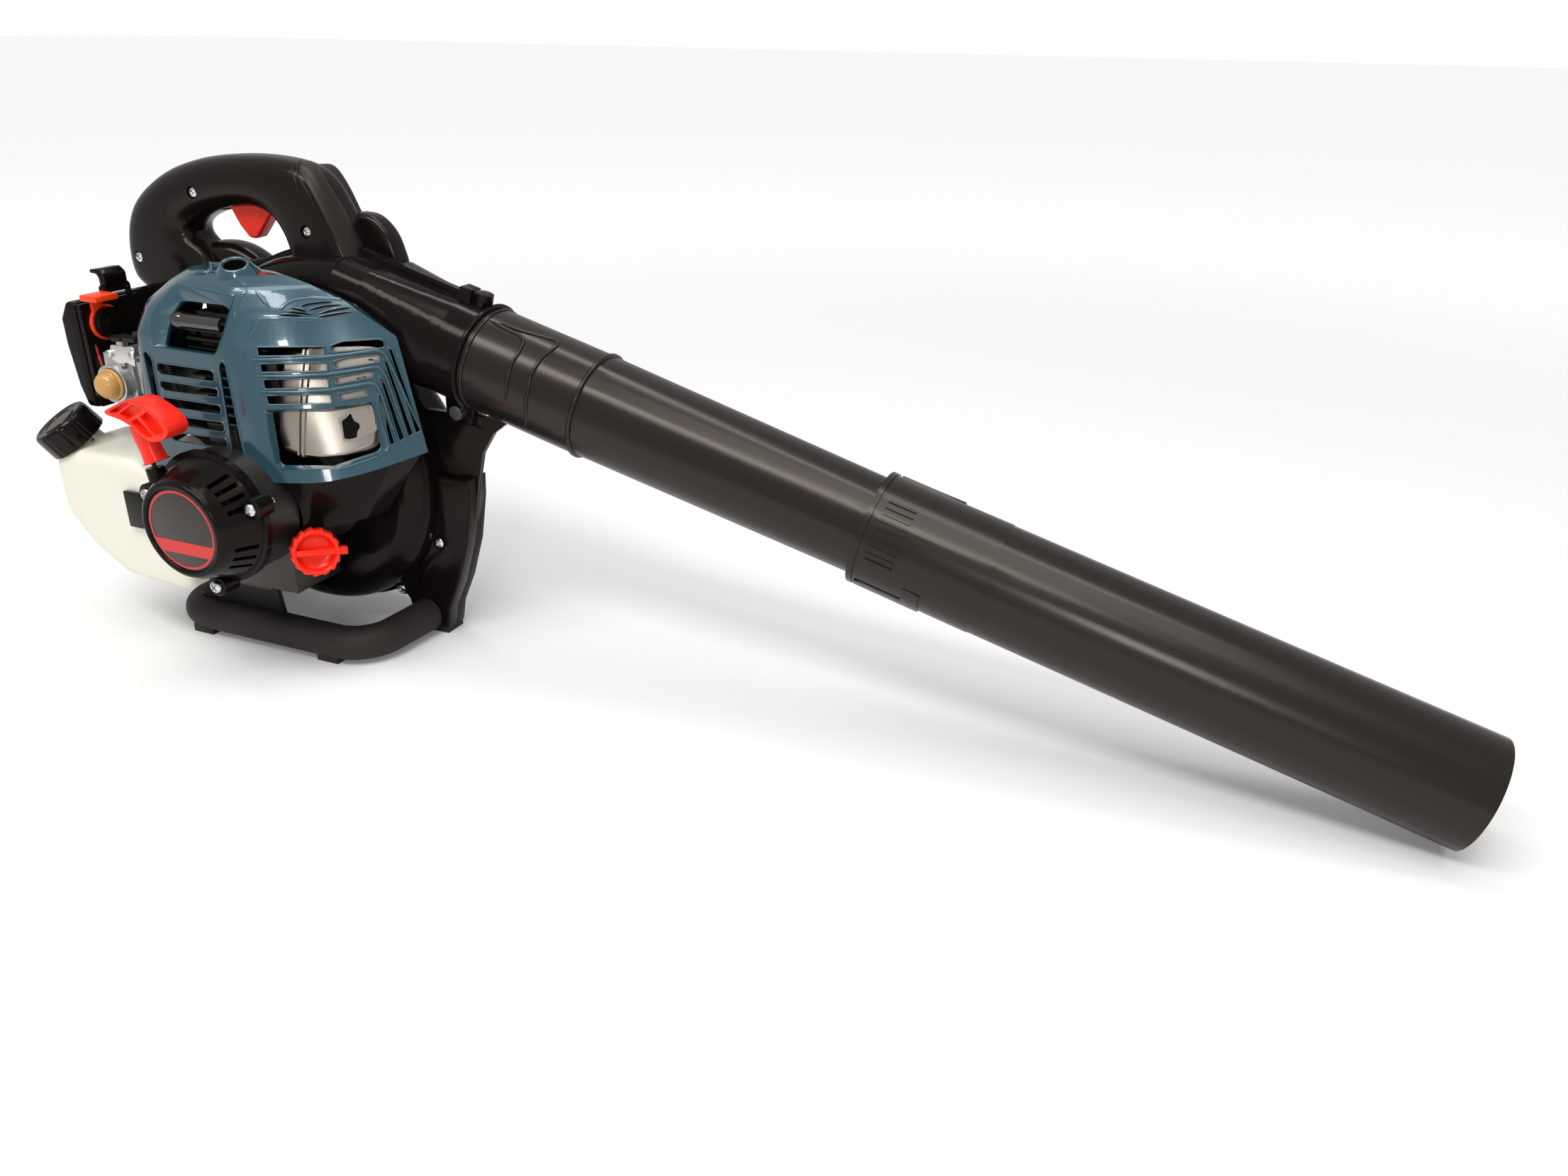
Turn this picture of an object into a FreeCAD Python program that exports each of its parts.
"""Handheld four-stroke petrol leaf blower, with a top handle and a two-piece round tube.

Frame: +X forward along the tube, +Y to the left, +Z up, origin on the floor under the middle of the
whole machine. The sizes below are given from the foot of the crank axis in the middle plane of the fan
housing, and place() moves each piece from there to the frame. The engine sits on the right side (-Y).
All lengths are millimetres and all angles are degrees.
"""
import FreeCAD, Part
import math
import os
import re
import Sketcher
from FreeCAD import Placement, Rotation, Vector

doc = FreeCAD.newDocument("Blower")
sheet = doc.addObject("Spreadsheet::Sheet", "Sizes")

# Driving dimensions: alias, value, what it is
SIZES = [
    ("middle_x", 338.0, "middle of the machine, ahead of the crank axis"),
    ("middle_y", -56.0, "middle of the machine, across from the housing's middle plane"),
    ("crank_height", 133.5, "crank and fan axis over the floor"),
    ("housing_width", 76.0, "fan housing across both halves"),
    ("housing_wall", 2.5, "wall of the moulded housings"),
    ("scroll_start", 102.0, "scroll radius at the tongue"),
    ("scroll_power", 2.4, "how late the scroll grows"),
    ("tongue_angle", 60.0, "where the scroll starts, up from +X"),
    ("scroll_round", 20.0, "round on the outer edge of the scroll"),
    ("seam_height", 5.0, "height of the seam flange"),
    ("seam_half", 2.5, "half thickness of the seam flange"),
    ("intake_radius", 62.0, "air intake opening on the left side"),
    ("grille_depth", 17.0, "how far the intake grille stands out"),
    ("foot_height", 5.0, "rubber feet under the legs"),
    ("leg_near", 12.0, "legs towards the engine from the middle plane"),
    ("leg_far", 12.0, "legs away from the engine from the middle plane"),
    ("tube_pitch", 15.5, "fall of the blower tube below the level"),
    ("duct_offset", 139.0, "tube axis from the crank axis"),
    ("duct_radius", 38.0, "outlet duct, outside"),
    ("mouth_station", 119.0, "end of the outlet duct, along the tube axis"),
    ("collar_height", 1.6, "bead round the mouth of the duct"),
    ("spigot_length", 54.0, "spigot of the duct inside the upper tube"),
    ("tube_wall", 2.0, "wall of the blower tubes"),
    ("slip_gap", 0.3, "play between parts that turn or slip on each other"),
    ("upper_sleeve", 95.0, "thick end of the upper tube"),
    ("upper_step", 0.5, "step at the end of the thick end"),
    ("upper_tip_radius", 35.4, "upper tube before the joint, outside"),
    ("upper_length", 391.0, "upper tube, end to end"),
    ("joint_swell", 2.0, "rise of the upper tube's end inside the joint"),
    ("joint_overlap", 75.0, "upper tube inside the lower tube's sleeve"),
    ("lower_sleeve", 89.0, "sleeve of the lower tube"),
    ("lower_length", 416.0, "lower tube, end to end"),
    ("nozzle_radius", 38.7, "open end of the lower tube, outside"),
    ("lug_height", 1.2, "bayonet lug over the upper tube's end"),
    ("lug_length", 8.0, "bayonet lug along the tube"),
    ("lug_angle", 14.0, "bayonet lug round the tube"),
    ("twist_angle", 20.0, "turn of the lower tube to unlock it"),
    ("fan_radius", 90.0, "impeller"),
    ("fan_width", 46.0, "impeller blades along the axis"),
    ("fan_blades", 16, "blades of the impeller"),
    ("fan_eye", 55.0, "inner end of the blades"),
    ("fan_disc", 3.0, "back plate of the impeller"),
    ("fan_gap", 11.0, "back plate from the housing's right wall"),
    ("shaft_radius", 6.0, "crankshaft journals"),
    ("bearing_gap", 0.05, "running play of shafts and pins in their bores"),
    ("bearing_radius", 12.0, "crank bearings, outside"),
    ("bearing_width", 7.0, "crank bearings"),
    ("engine_plane", -80.0, "cylinder axis along Y"),
    ("crank_throw", 15.0, "half of the stroke"),
    ("rod_length", 75.0, "connecting rod between its eyes"),
    ("web_radius", 24.0, "crank webs"),
    ("web_width", 8.0, "thickness of a crank web"),
    ("rod_width", 8.0, "connecting rod along the crank"),
    ("pin_radius", 5.0, "crank pin"),
    ("pin_stub", 2.0, "crank pin beside the rod"),
    ("web_gap", 0.4, "play beside the crank pin"),
    ("bore_radius", 18.0, "cylinder bore"),
    ("piston_gap", 0.05, "piston in its bore"),
    ("piston_height", 26.0, "piston"),
    ("crown_height", 14.0, "piston crown over its pin"),
    ("wrist_radius", 4.0, "piston pin"),
    ("case_radius", 37.0, "crankcase barrel"),
    ("case_cavity", 31.0, "crank chamber"),
    ("case_length", 48.0, "crankcase along the crank"),
    ("case_wall", 4.0, "wall of the sump"),
    ("sump_bottom", 64.0, "underside of the oil sump"),
    ("sump_half", 34.0, "half length of the oil sump"),
    ("deck_height", 176.0, "joint of crankcase and cylinder"),
    ("head_height", 239.0, "top of the bore"),
    ("head_top", 274.0, "top of the cylinder head"),
    ("fin_x", 60.0, "cooling fins along X"),
    ("fin_y", 52.0, "cooling fins along Y"),
    ("fin_thick", 1.8, "thickness of a cooling fin"),
    ("fin_pitch", 6.6, "cooling fins, one to the next"),
    ("barrel_radius", 22.0, "cylinder barrel, outside"),
    ("rocker_height", 12.0, "valve cover"),
    ("plug_height", 258.0, "spark plug at the head"),
    ("flywheel_radius", 42.0, "flywheel"),
    ("flywheel_width", 14.0, "flywheel rim"),
    ("flywheel_plane", -112.0, "flywheel's inner face along Y"),
    ("shroud_radius", 47.5, "flywheel shroud, outside"),
    ("starter_face", -166.0, "front face of the starter along Y"),
    ("starter_back", -134.0, "starter flange along Y"),
    ("starter_front_radius", 38.0, "front rim of the starter"),
    ("starter_back_radius", 46.5, "starter wall at its flange"),
    ("starter_flange", 50.0, "starter flange"),
    ("badge_radius", 30.6, "round badge on the starter"),
    ("badge_thick", 1.2, "badge"),
    ("post_radius", 6.0, "post that carries the rope pulley"),
    ("pulley_radius", 33.0, "rope pulley"),
    ("pulley_width", 8.0, "rope pulley"),
    ("rope_radius", 1.6, "starter rope"),
    ("rope_lean", 8.0, "pull direction, back from the vertical"),
    ("rope_side", 29.0, "rope beside the crank axis"),
    ("grip_plane", -150.0, "starter grip along Y"),
    ("cover_skin", 2.5, "wall of the engine cover"),
    ("cover_near", -120.0, "cover's near face"),
    ("cover_back", -42.0, "cover's edge at the fan housing along Y"),
    ("cover_rear", -88.0, "cover's rear face"),
    ("cover_front", 124.0, "cover's front end"),
    ("cover_bottom", 158.0, "cover's lower edge at its near side"),
    ("cover_crease", 256.0, "crease round the cover"),
    ("cover_top", 299.0, "top of the cover"),
    ("cover_slope", 13.0, "rise of the lower edge towards the housing"),
    ("slot_height", 6.7, "cooling slots of the cover"),
    ("slot_pitch", 12.5, "cooling slots, one to the next"),
    ("handle_half", 20.0, "half width of the handle"),
    ("handle_wall", 3.0, "wall of the handle shells"),
    ("handle_round", 14.0, "round on the handle's edges"),
    ("trigger_half", 6.0, "half width of the trigger"),
    ("trigger_pin_radius", 2.0, "trigger pin"),
    ("grip_gap", 0.5, "play round the trigger and the switch"),
    ("cable_radius", 2.2, "throttle cable with its sheath"),
    ("stand_radius", 13.5, "stand tube with its foam sleeve"),
    ("stand_height", 16.0, "stand tube's axis over the floor"),
    ("stand_reach", -83.0, "outer bar of the stand along Y"),
    ("tank_wall", 2.2, "wall of the fuel tank"),
    ("cap_radius", 22.0, "fuel cap without its ribs"),
    ("cap_height", 21.0, "fuel cap"),
    ("neck_radius", 16.0, "filler neck of the tank"),
    ("oil_cap_radius", 17.0, "oil cap without its scallops"),
    ("oil_neck_radius", 12.0, "oil filler neck"),
    ("dipstick_length", 30.0, "dipstick under the oil cap"),
    ("primer_radius", 10.5, "primer bulb"),
    ("primer_wall", 1.5, "wall of the primer bulb"),
    ("primer_travel", 4.0, "how far the primer bulb is pressed in"),
    ("screw_radius", 2.5, "case screws"),
    ("screw_head_radius", 4.6, "heads of the case screws"),
    ("screw_head_height", 3.4, "heads of the case screws"),
]
for row, (alias, size, meaning) in enumerate(SIZES, start=1):
    sheet.set("A%d" % row, alias)
    sheet.set("B%d" % row, str(size))
    sheet.set("C%d" % row, meaning)
    sheet.setAlias("B%d" % row, alias)
doc.recompute()
ALIASES = {alias for alias, size, meaning in SIZES}


class Values:
    """The sheet's cells as plain numbers, for shapes that Part's functions make."""

    def __getattr__(self, alias):
        return float(sheet.get(alias))


S = Values()
NODES = {}
TURNS = {
    "z": Rotation(),
    "x": Rotation(Vector(0, 1, 0), 90),
    "-x": Rotation(Vector(0, 1, 0), -90),
    "y": Rotation(Vector(1, 0, 0), -90),
    "-y": Rotation(Vector(1, 0, 0), 90),
}
CRANK = ("0", "0", "crank_height")


def link(text):
    """Return an expression with each alias named as a cell of the sheet."""
    return re.sub(r"[a-z_]+", lambda word: ("Sizes." if word[0] in ALIASES else "") + word[0], str(text))


def worth(text):
    """What an expression on the sheet comes to."""
    if isinstance(text, (int, float)):
        return float(text)
    answer = sheet.evalExpression(link(text).replace("Sizes.", ""))
    return float(getattr(answer, "Value", answer))


def place(thing, at=("0", "0", "0"), turn="z"):
    """Put a thing at a point from the crank axis's foot, with its own Z along the named direction."""
    thing.Placement = Placement(Vector(), TURNS[turn] if isinstance(turn, str) else turn)
    x, y, z = at
    thing.setExpression("Placement.Base.x", link("%s - middle_x" % x))
    thing.setExpression("Placement.Base.y", link("%s - middle_y" % y))
    thing.setExpression("Placement.Base.z", link(z))
    return thing


def box(name, size, at, turn="z"):
    """A box from its lowest corner."""
    thing = doc.addObject("Part::Box", name)
    for side, text in zip(("Length", "Width", "Height"), size):
        thing.setExpression(side, link(text))
    return place(thing, at, turn)


def cylinder(name, radius, height, at, turn="z"):
    """A round bar from the middle of one end."""
    thing = doc.addObject("Part::Cylinder", name)
    thing.setExpression("Radius", link(radius))
    thing.setExpression("Height", link(height))
    return place(thing, at, turn)


def cone(name, radius_low, radius_high, height, at, turn="z"):
    """A tapered round bar from the middle of its first end."""
    thing = doc.addObject("Part::Cone", name)
    thing.setExpression("Radius1", link(radius_low))
    thing.setExpression("Radius2", link(radius_high))
    thing.setExpression("Height", link(height))
    return place(thing, at, turn)


def fuse(name, things):
    """Several things joined into one."""
    joined = doc.addObject("Part::MultiFuse", name)
    joined.Shapes = things
    joined.Refine = True
    return joined


def cut(name, base, tools):
    """A thing with others taken out of it."""
    result = doc.addObject("Part::Cut", name)
    result.Base = base
    result.Tool = tools[0] if len(tools) == 1 else fuse(name + "_tools", tools)
    result.Refine = True
    return result


def node(name, thing):
    """Name a finished sub-part and keep it for export."""
    thing.Label = name
    NODES[name] = thing
    return thing


def feature(name, shape):
    """A thing whose shape comes from Part's own functions, given from the crank axis's foot."""
    thing = doc.addObject("Part::Feature", name)
    thing.Shape = shape
    return place(thing)


def shaped(name, shape):
    """A sub-part whose shape comes from Part's own functions."""
    return node(name, feature("shape_" + name, shape))


def group(name, things):
    """Like pieces that stay separate solids in one sub-part."""
    bundle = doc.addObject("Part::Compound", "group_" + name)
    bundle.Links = things
    return node(name, bundle)


def sketch_outline(body, name, points):
    """A closed outline of straight edges on the body's XZ plane, each corner held by two sizes."""
    sketch = body.newObject("Sketcher::SketchObject", name)
    plane = [item for item in body.Origin.OriginFeatures if item.Role == "XZ_Plane"][0]
    sketch.AttachmentSupport = [(plane, "")]
    sketch.MapMode = "FlatFace"
    corners = [Vector(worth(a), worth(b), 0) for a, b in points]
    for i, corner in enumerate(corners):
        sketch.addGeometry(Part.LineSegment(corner, corners[(i + 1) % len(corners)]), False)
    for i in range(len(corners)):
        sketch.addConstraint(Sketcher.Constraint("Coincident", i, 2, (i + 1) % len(corners), 1))
    for i, (a, b) in enumerate(points):
        for kind, text, size in (("DistanceX", a, corners[i].x), ("DistanceY", b, corners[i].y)):
            index = sketch.addConstraint(Sketcher.Constraint(kind, -1, 1, i, 1, size))
            if isinstance(text, str):
                sketch.setExpression("Constraints[%d]" % index, link(text))
    return sketch


def turned(name, profile, at=CRANK, turn="y"):
    """A body turned about its own Z from (radius, station) corners, and placed."""
    body = doc.addObject("PartDesign::Body", name)
    sketch = sketch_outline(body, name + "_profile", profile)
    revolution = body.newObject("PartDesign::Revolution", name + "_turned")
    revolution.Profile = sketch
    revolution.ReferenceAxis = (sketch, ["V_Axis"])
    revolution.Angle = 360
    return place(body, at, turn)


def ring(name, inner, outer, low, high, at=CRANK, turn="y"):
    """A plain ring or, with an inner radius of 0, a disc between two stations."""
    return turned(name, [(inner, low), (outer, low), (outer, high), (inner, high)], at, turn)


# Shapes by Part's own functions

def xz(points, y=0.0):
    """Points in a plane across Y."""
    return [Vector(x, y, z) for x, z in points]


def xy(points, z=0.0):
    """Points in a level plane."""
    return [Vector(x, y, z) for x, y in points]


def wire(points):
    """A closed wire of straight edges."""
    return Part.makePolygon(points + [points[0]])


def soft_wire(points, radii):
    """A closed wire whose corners are rounded, each by its own radius."""
    count = len(points)
    arcs = []
    for i, corner in enumerate(points):
        back = Vector(points[i - 1] - corner).normalize()
        ahead = Vector(points[(i + 1) % count] - corner).normalize()
        half = back.getAngle(ahead) / 2
        bisector = Vector(back + ahead).normalize()
        reach = radii[i] / math.tan(half)
        middle = corner + bisector * (radii[i] / math.sin(half) - radii[i])
        arcs.append((corner + back * reach, middle, corner + ahead * reach))
    edges = []
    for i, (start, middle, end) in enumerate(arcs):
        edges.append(Part.Arc(start, middle, end).toShape())
        edges.append(Part.LineSegment(end, arcs[(i + 1) % count][0]).toShape())
    return Part.Wire(edges)


def slab(outline, along):
    """A solid from a closed wire moved along a vector."""
    return Part.Face(outline).extrude(along)


def block(low, high):
    """A box between two corners."""
    size = [b - a for a, b in zip(low, high)]
    return Part.makeBox(size[0], size[1], size[2], Vector(*low))


def bar(start, end, radius):
    """A round bar between two points."""
    return Part.makeCylinder(radius, (end - start).Length, start, end - start)


def softened(shape, radius, wanted):
    """A shape with the edges that wanted picks rounded."""
    return shape.makeFillet(radius, [edge for edge in shape.Edges if wanted(edge)])


def at_side(edge, y):
    """Whether an edge lies in the plane at this Y."""
    bounds = edge.BoundBox
    return abs(bounds.YMin - y) < 0.01 and abs(bounds.YMax - y) < 0.01


def inset(points, distance):
    """A closed outline of level points moved inwards (anticlockwise) by a distance."""
    moved = []
    count = len(points)
    for i, corner in enumerate(points):
        before = Vector(corner - points[i - 1]).normalize()
        after = Vector(points[(i + 1) % count] - corner).normalize()
        normal_before = Vector(-before.y, before.x, 0)
        normal_after = Vector(-after.y, after.x, 0)
        share = distance / (1 + normal_before.dot(normal_after))
        moved.append(corner + (normal_before + normal_after) * share)
    return moved


def tube_along(route, radius, bend):
    """A round bar along straight runs joined by arcs of one radius."""
    edges = []
    start = route[0]
    for i in range(1, len(route) - 1):
        back = Vector(route[i - 1] - route[i]).normalize()
        ahead = Vector(route[i + 1] - route[i]).normalize()
        half = back.getAngle(ahead) / 2
        bisector = Vector(back + ahead).normalize()
        size = bend if not isinstance(bend, (list, tuple)) else bend[i - 1]
        reach = size / math.tan(half)
        edges.append(Part.LineSegment(start, route[i] + back * reach).toShape())
        middle = route[i] + bisector * (size / math.sin(half) - size)
        edges.append(Part.Arc(route[i] + back * reach, middle, route[i] + ahead * reach).toShape())
        start = route[i] + ahead * reach
    edges.append(Part.LineSegment(start, route[-1]).toShape())
    spine = Part.Wire(edges)
    section = Part.Wire([Part.Circle(route[0], route[1] - route[0], radius).toShape()])
    return spine.makePipeShell([section], True, False)


# The fan housing: a scroll that opens into a round duct, in two halves

PITCH = math.radians(S.tube_pitch)
ALONG_TUBE = Vector(math.cos(PITCH), 0, -math.sin(PITCH))
OFF_TUBE = Vector(math.sin(PITCH), 0, math.cos(PITCH))
TUBE_TURN = Rotation(Vector(0, 1, 0), 90 + S.tube_pitch)
AXIS = Vector(0, 0, S.crank_height)
HALF = S.housing_width / 2


def on_tube(station, off=0.0, side=0.0):
    """A point by its station along the tube, its height off the tube's axis and its side."""
    return AXIS + OFF_TUBE * (S.duct_offset + off) + ALONG_TUBE * station + Vector(0, side, 0)


def tube_place(station, off="0"):
    """The same point in the middle plane, as expressions."""
    across = "(duct_offset + %s)" % off
    return ("%s * sin(tube_pitch) + (%s) * cos(tube_pitch)" % (across, station), "0",
            "crank_height + %s * cos(tube_pitch) - (%s) * sin(tube_pitch)" % (across, station))


def polar(radius, angle, y=0.0):
    """A point round the crank axis, its angle up from +X."""
    turn = math.radians(angle)
    return Vector(radius * math.cos(turn), y, S.crank_height + radius * math.sin(turn))


SCROLL_SWEEP = 270 + S.tube_pitch + S.tongue_angle
SCROLL_END = S.duct_offset + S.duct_radius
SCROLL_STEPS = 20


def scroll_radius(angle):
    """The scroll's radius at an angle up from +X, growing clockwise from the tongue."""
    share = ((S.tongue_angle - angle) % 360) / SCROLL_SWEEP
    return S.scroll_start + (SCROLL_END - S.scroll_start) * share ** S.scroll_power


def scroll_curve(inside):
    """The scroll's line from the tongue round to the duct, moved inwards by a distance."""
    points = []
    for i in range(SCROLL_STEPS + 1):
        angle = S.tongue_angle - SCROLL_SWEEP * i / SCROLL_STEPS
        radius = SCROLL_END if i == SCROLL_STEPS else scroll_radius(angle)
        points.append(polar(radius - inside, angle))
    curve = Part.BSplineCurve()
    curve.interpolate(points)
    return curve.toShape(), points[0], points[-1]


SCROLL_STEP = 0.4


def scroll_solid(inside, half, rounding):
    """The scroll as a solid, and the station of its tongue."""
    curve, start, end = scroll_curve(inside)
    tongue = (start - AXIS).dot(ALONG_TUBE)
    top = AXIS + OFF_TUBE * (SCROLL_END - SCROLL_STEP - inside) + ALONG_TUBE * tongue
    roof = end - OFF_TUBE * SCROLL_STEP
    pieces = []
    for edges, outer in (([curve, Part.LineSegment(end, AXIS).toShape(),
                           Part.LineSegment(AXIS, start).toShape()], 0),
                         (wire([roof, top, start, AXIS]).Edges, 0)):
        face = Part.Face(Part.Wire(edges))
        face.translate(Vector(0, -half, 0))
        piece = face.extrude(Vector(0, 2 * half, 0))
        if rounding:
            rim = edges[outer].CenterOfMass
            near_rim = [edge for edge in piece.Edges if at_side(edge, edge.CenterOfMass.y)
                        and abs(abs(edge.CenterOfMass.y) - half) < 0.01
                        and abs(edge.CenterOfMass.x - rim.x) < 0.01
                        and abs(edge.CenterOfMass.z - rim.z) < 0.01]
            piece = piece.makeFillet(rounding, near_rim)
        pieces.append(piece)
    return pieces[0].fuse(pieces[1]), tongue


DUCT_ROUND_START = 96.0
DUCT_CORNER = S.scroll_round
ROUND_SHARE = 12.0


def on_ring(centre, out, over, radius, angle):
    """The point of a ring at an angle from out towards over."""
    turn = math.radians(angle)
    return centre + (out * math.cos(turn) + over * math.sin(turn)) * radius


def duct_section(station, half, corner):
    """A square with round corners, or a circle in eight arcs, across the tube axis."""
    centre = on_tube(station)
    side = Vector(0, 1, 0)
    edges = []
    for quarter in range(4):
        turn = math.radians(90 * quarter)
        out = OFF_TUBE * math.cos(turn) + side * math.sin(turn)
        over = side * math.cos(turn) - OFF_TUBE * math.sin(turn)
        if corner is None:
            stops = [on_ring(centre, out, over, half, angle)
                     for angle in (-ROUND_SHARE, 0, ROUND_SHARE, 45, 90 - ROUND_SHARE)]
            edges.append(Part.Arc(*stops[:3]).toShape())
            edges.append(Part.Arc(*stops[2:]).toShape())
        else:
            flat = half - corner
            hub = centre + (out + over) * flat
            edges.append(Part.LineSegment(centre + out * half - over * flat,
                                          centre + out * half + over * flat).toShape())
            edges.append(Part.Arc(hub + out * corner, hub + (out + over) * (corner / math.sqrt(2)),
                                  hub + over * corner).toShape())
    return Part.Wire(edges)


def housing_form(inside, bore):
    """The housing's outside, or with an inset and a bore its inside, as a solid."""
    scroll, tongue = scroll_solid(inside, HALF - inside, S.scroll_round - inside)
    neck = Part.makeLoft([duct_section(tongue, S.duct_radius - inside, DUCT_CORNER - inside),
                          duct_section(DUCT_ROUND_START, bore, None)], True, True)
    mouth = bar(on_tube(DUCT_ROUND_START), on_tube(S.mouth_station + inside), bore)
    return scroll.fuse([neck, mouth])


spigot_outer = S.duct_radius - S.tube_wall - S.slip_gap
spigot_bore = spigot_outer - S.housing_wall
housing_outside = housing_form(0.0, S.duct_radius)
housing_inside = housing_form(S.housing_wall, spigot_bore)

# The seam flange follows the scroll and both sides of the duct
flange, _ = scroll_solid(-S.seam_height, S.seam_half, 0)
duct_seam_end = S.mouth_station - 14
seam_reach = S.duct_radius + S.seam_height
duct_seam = slab(wire([on_tube(20, seam_reach, -S.seam_half),
                       on_tube(duct_seam_end, seam_reach, -S.seam_half),
                       on_tube(duct_seam_end, -seam_reach, -S.seam_half), on_tube(20, -seam_reach,
                                                                                  -S.seam_half)]),
                 Vector(0, 2 * S.seam_half, 0))
web = slab(wire(xz([(70, 190), (168, 190), (152, 178), (140, 160), (134, 136), (128, 105), (80, 90)],
                   -S.seam_half)),
           Vector(0, 2 * S.seam_half, 0))

# Legs under the scroll, front and rear, from the middle plane to both sides
FRONT_LEG = [(60, 140), (132, 140), (131, 122), (124, 84), (113, 50), (101, 24), (97, S.foot_height),
             (66, S.foot_height), (61, 26), (50, 40)]
REAR_LEG = [(-60, 140), (-136, 140), (-134, 110), (-126, 50), (-121, S.foot_height), (-90, S.foot_height),
            (-84, 26), (-66, 44)]


def leg(points):
    """A moulded leg, the same thickness all over, with soft edges."""
    solid = slab(wire(xz(points, -S.leg_near)), Vector(0, S.leg_near + S.leg_far, 0))
    return softened(solid, 2.0, lambda edge: at_side(edge, -S.leg_near) or at_side(edge, S.leg_far))


legs = [leg(FRONT_LEG), leg(REAR_LEG)]
collar = bar(on_tube(S.mouth_station - 5), on_tube(S.mouth_station), S.duct_radius + S.collar_height)
spigot = bar(on_tube(S.mouth_station - 1), on_tube(S.mouth_station + S.spigot_length), spigot_outer)
spigot_hole = bar(on_tube(S.mouth_station - 2), on_tube(S.mouth_station + S.spigot_length + 1), spigot_bore)

# Ears of the clamp under the mouth, and of the lock screw over it
clamp_ear = slab(wire([on_tube(92, -36, -9), on_tube(S.mouth_station, -36, -9),
                       on_tube(S.mouth_station, -52, -9),
                       on_tube(108, -56, -9), on_tube(96, -52, -9)]), Vector(0, 18, 0))
clamp_hole_at = on_tube(106, -47)
top_ear = slab(wire([on_tube(88, 36, -6), on_tube(100, 36, -6), on_tube(100, 47, -6),
                     on_tube(90, 47, -6)]), Vector(0, 12, 0))
top_post = bar(on_tube(108, 34), on_tube(108, 47), 6.5)

# Bosses for the seam screws
SEAM_SCREWS = [(-28, 5.2), (-62, 5.2), (-118, 5.2), (-152, 5.2), (150, 5.2), (112, 5.2)]
BOSS_HALF = 9.0
seam_screw_places = [polar(scroll_radius(angle) + out, angle) for angle, out in SEAM_SCREWS]
bosses = [bar(p + Vector(0, -BOSS_HALF, 0), p + Vector(0, BOSS_HALF, 0),
              S.screw_radius + 3.5) for p in seam_screw_places]
screw_holes = [bar(p + Vector(0, -BOSS_HALF - 1, 0), p + Vector(0, BOSS_HALF + 1, 0), S.screw_radius)
               for p in seam_screw_places]

screw_sinks = [bar(p + Vector(0, -BOSS_HALF, 0), p + Vector(0, -S.leg_near - 1, 0),
                   S.screw_head_radius + S.slip_gap)
               for p in seam_screw_places]

FAN_SHAFT_HOLE = S.shaft_radius + 3
shaft_hole = bar(Vector(0, -HALF - 1, S.crank_height), Vector(0, 0, S.crank_height), FAN_SHAFT_HOLE)
intake_hole = bar(AXIS, AXIS + Vector(0, HALF + 1, 0), S.intake_radius)
pinch_hole = bar(clamp_hole_at + Vector(0, -20, 0), clamp_hole_at + Vector(0, 20, 0), S.screw_radius)

housing_skin = housing_outside.fuse([flange, duct_seam, web, collar, spigot, clamp_ear, top_ear,
                                     top_post] + legs + bosses)
housing_whole = housing_skin.cut([housing_inside, spigot_hole, shaft_hole, intake_hole,
                                  pinch_hole] + screw_holes + screw_sinks)
REACH = 400.0
near_space = block((-REACH, -REACH, -REACH), (REACH, 0, REACH))
far_space = block((-REACH, 0, -REACH), (REACH, REACH, REACH))
shaped("volute_right_half", housing_whole.common(near_space))
shaped("volute_left_half", housing_whole.common(far_space))

# Screws through the seam, heads on the engine side
screw_parts = []
for place_at in seam_screw_places:
    head_end = place_at + Vector(0, -BOSS_HALF, 0)
    screw_parts.append(bar(head_end, place_at + Vector(0, BOSS_HALF, 0), S.screw_radius)
                       .fuse(bar(head_end, head_end - Vector(0, S.screw_head_height, 0),
                                 S.screw_head_radius)))
housing_screw_solids = screw_parts

# Intake grille: rings and spokes that stand out from the left side
grille_low = HALF
grille_high = HALF + S.grille_depth
GRILLE_RINGS = 5
GRILLE_SPOKES = 8
GRILLE_BAR = 2.4
grille_rim = [(S.intake_radius + 2, grille_low), (S.intake_radius + 10, grille_low),
              (S.intake_radius + 10, grille_low + 3), (S.intake_radius, grille_high),
              (S.intake_radius - 3, grille_high), (S.intake_radius - 3, grille_high - 3),
              (S.intake_radius + 2, grille_low + 4)]


def turned_shape(profile):
    """A ring about the crank axis from (radius, Y) corners."""
    face = Part.Face(wire([Vector(radius, y, S.crank_height) for radius, y in profile]))
    return face.revolve(AXIS, Vector(0, 1, 0), 360)


grille_pieces = [turned_shape(grille_rim)]
ring_pitch = (S.intake_radius - 10) / GRILLE_RINGS
for i in range(GRILLE_RINGS):
    outer = S.intake_radius - 3 - ring_pitch * (i + 0.6)
    grille_pieces.append(turned_shape([(outer - GRILLE_BAR, grille_high - 4), (outer, grille_high - 4),
                                       (outer, grille_high), (outer - GRILLE_BAR, grille_high)]))
grille_pieces.append(bar(AXIS + Vector(0, grille_high - 4, 0), AXIS + Vector(0, grille_high, 0), 10))
for i in range(GRILLE_SPOKES):
    spoke = block((5, grille_high - 3.5, S.crank_height - 1.2),
                  (S.intake_radius - 1, grille_high - 0.5, S.crank_height + 1.2))
    spoke.rotate(AXIS, Vector(0, 1, 0), 360 * (i + 0.5) / GRILLE_SPOKES)
    grille_pieces.append(spoke)
shaped("intake_grille", grille_pieces[0].fuse(grille_pieces[1:]))

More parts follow.
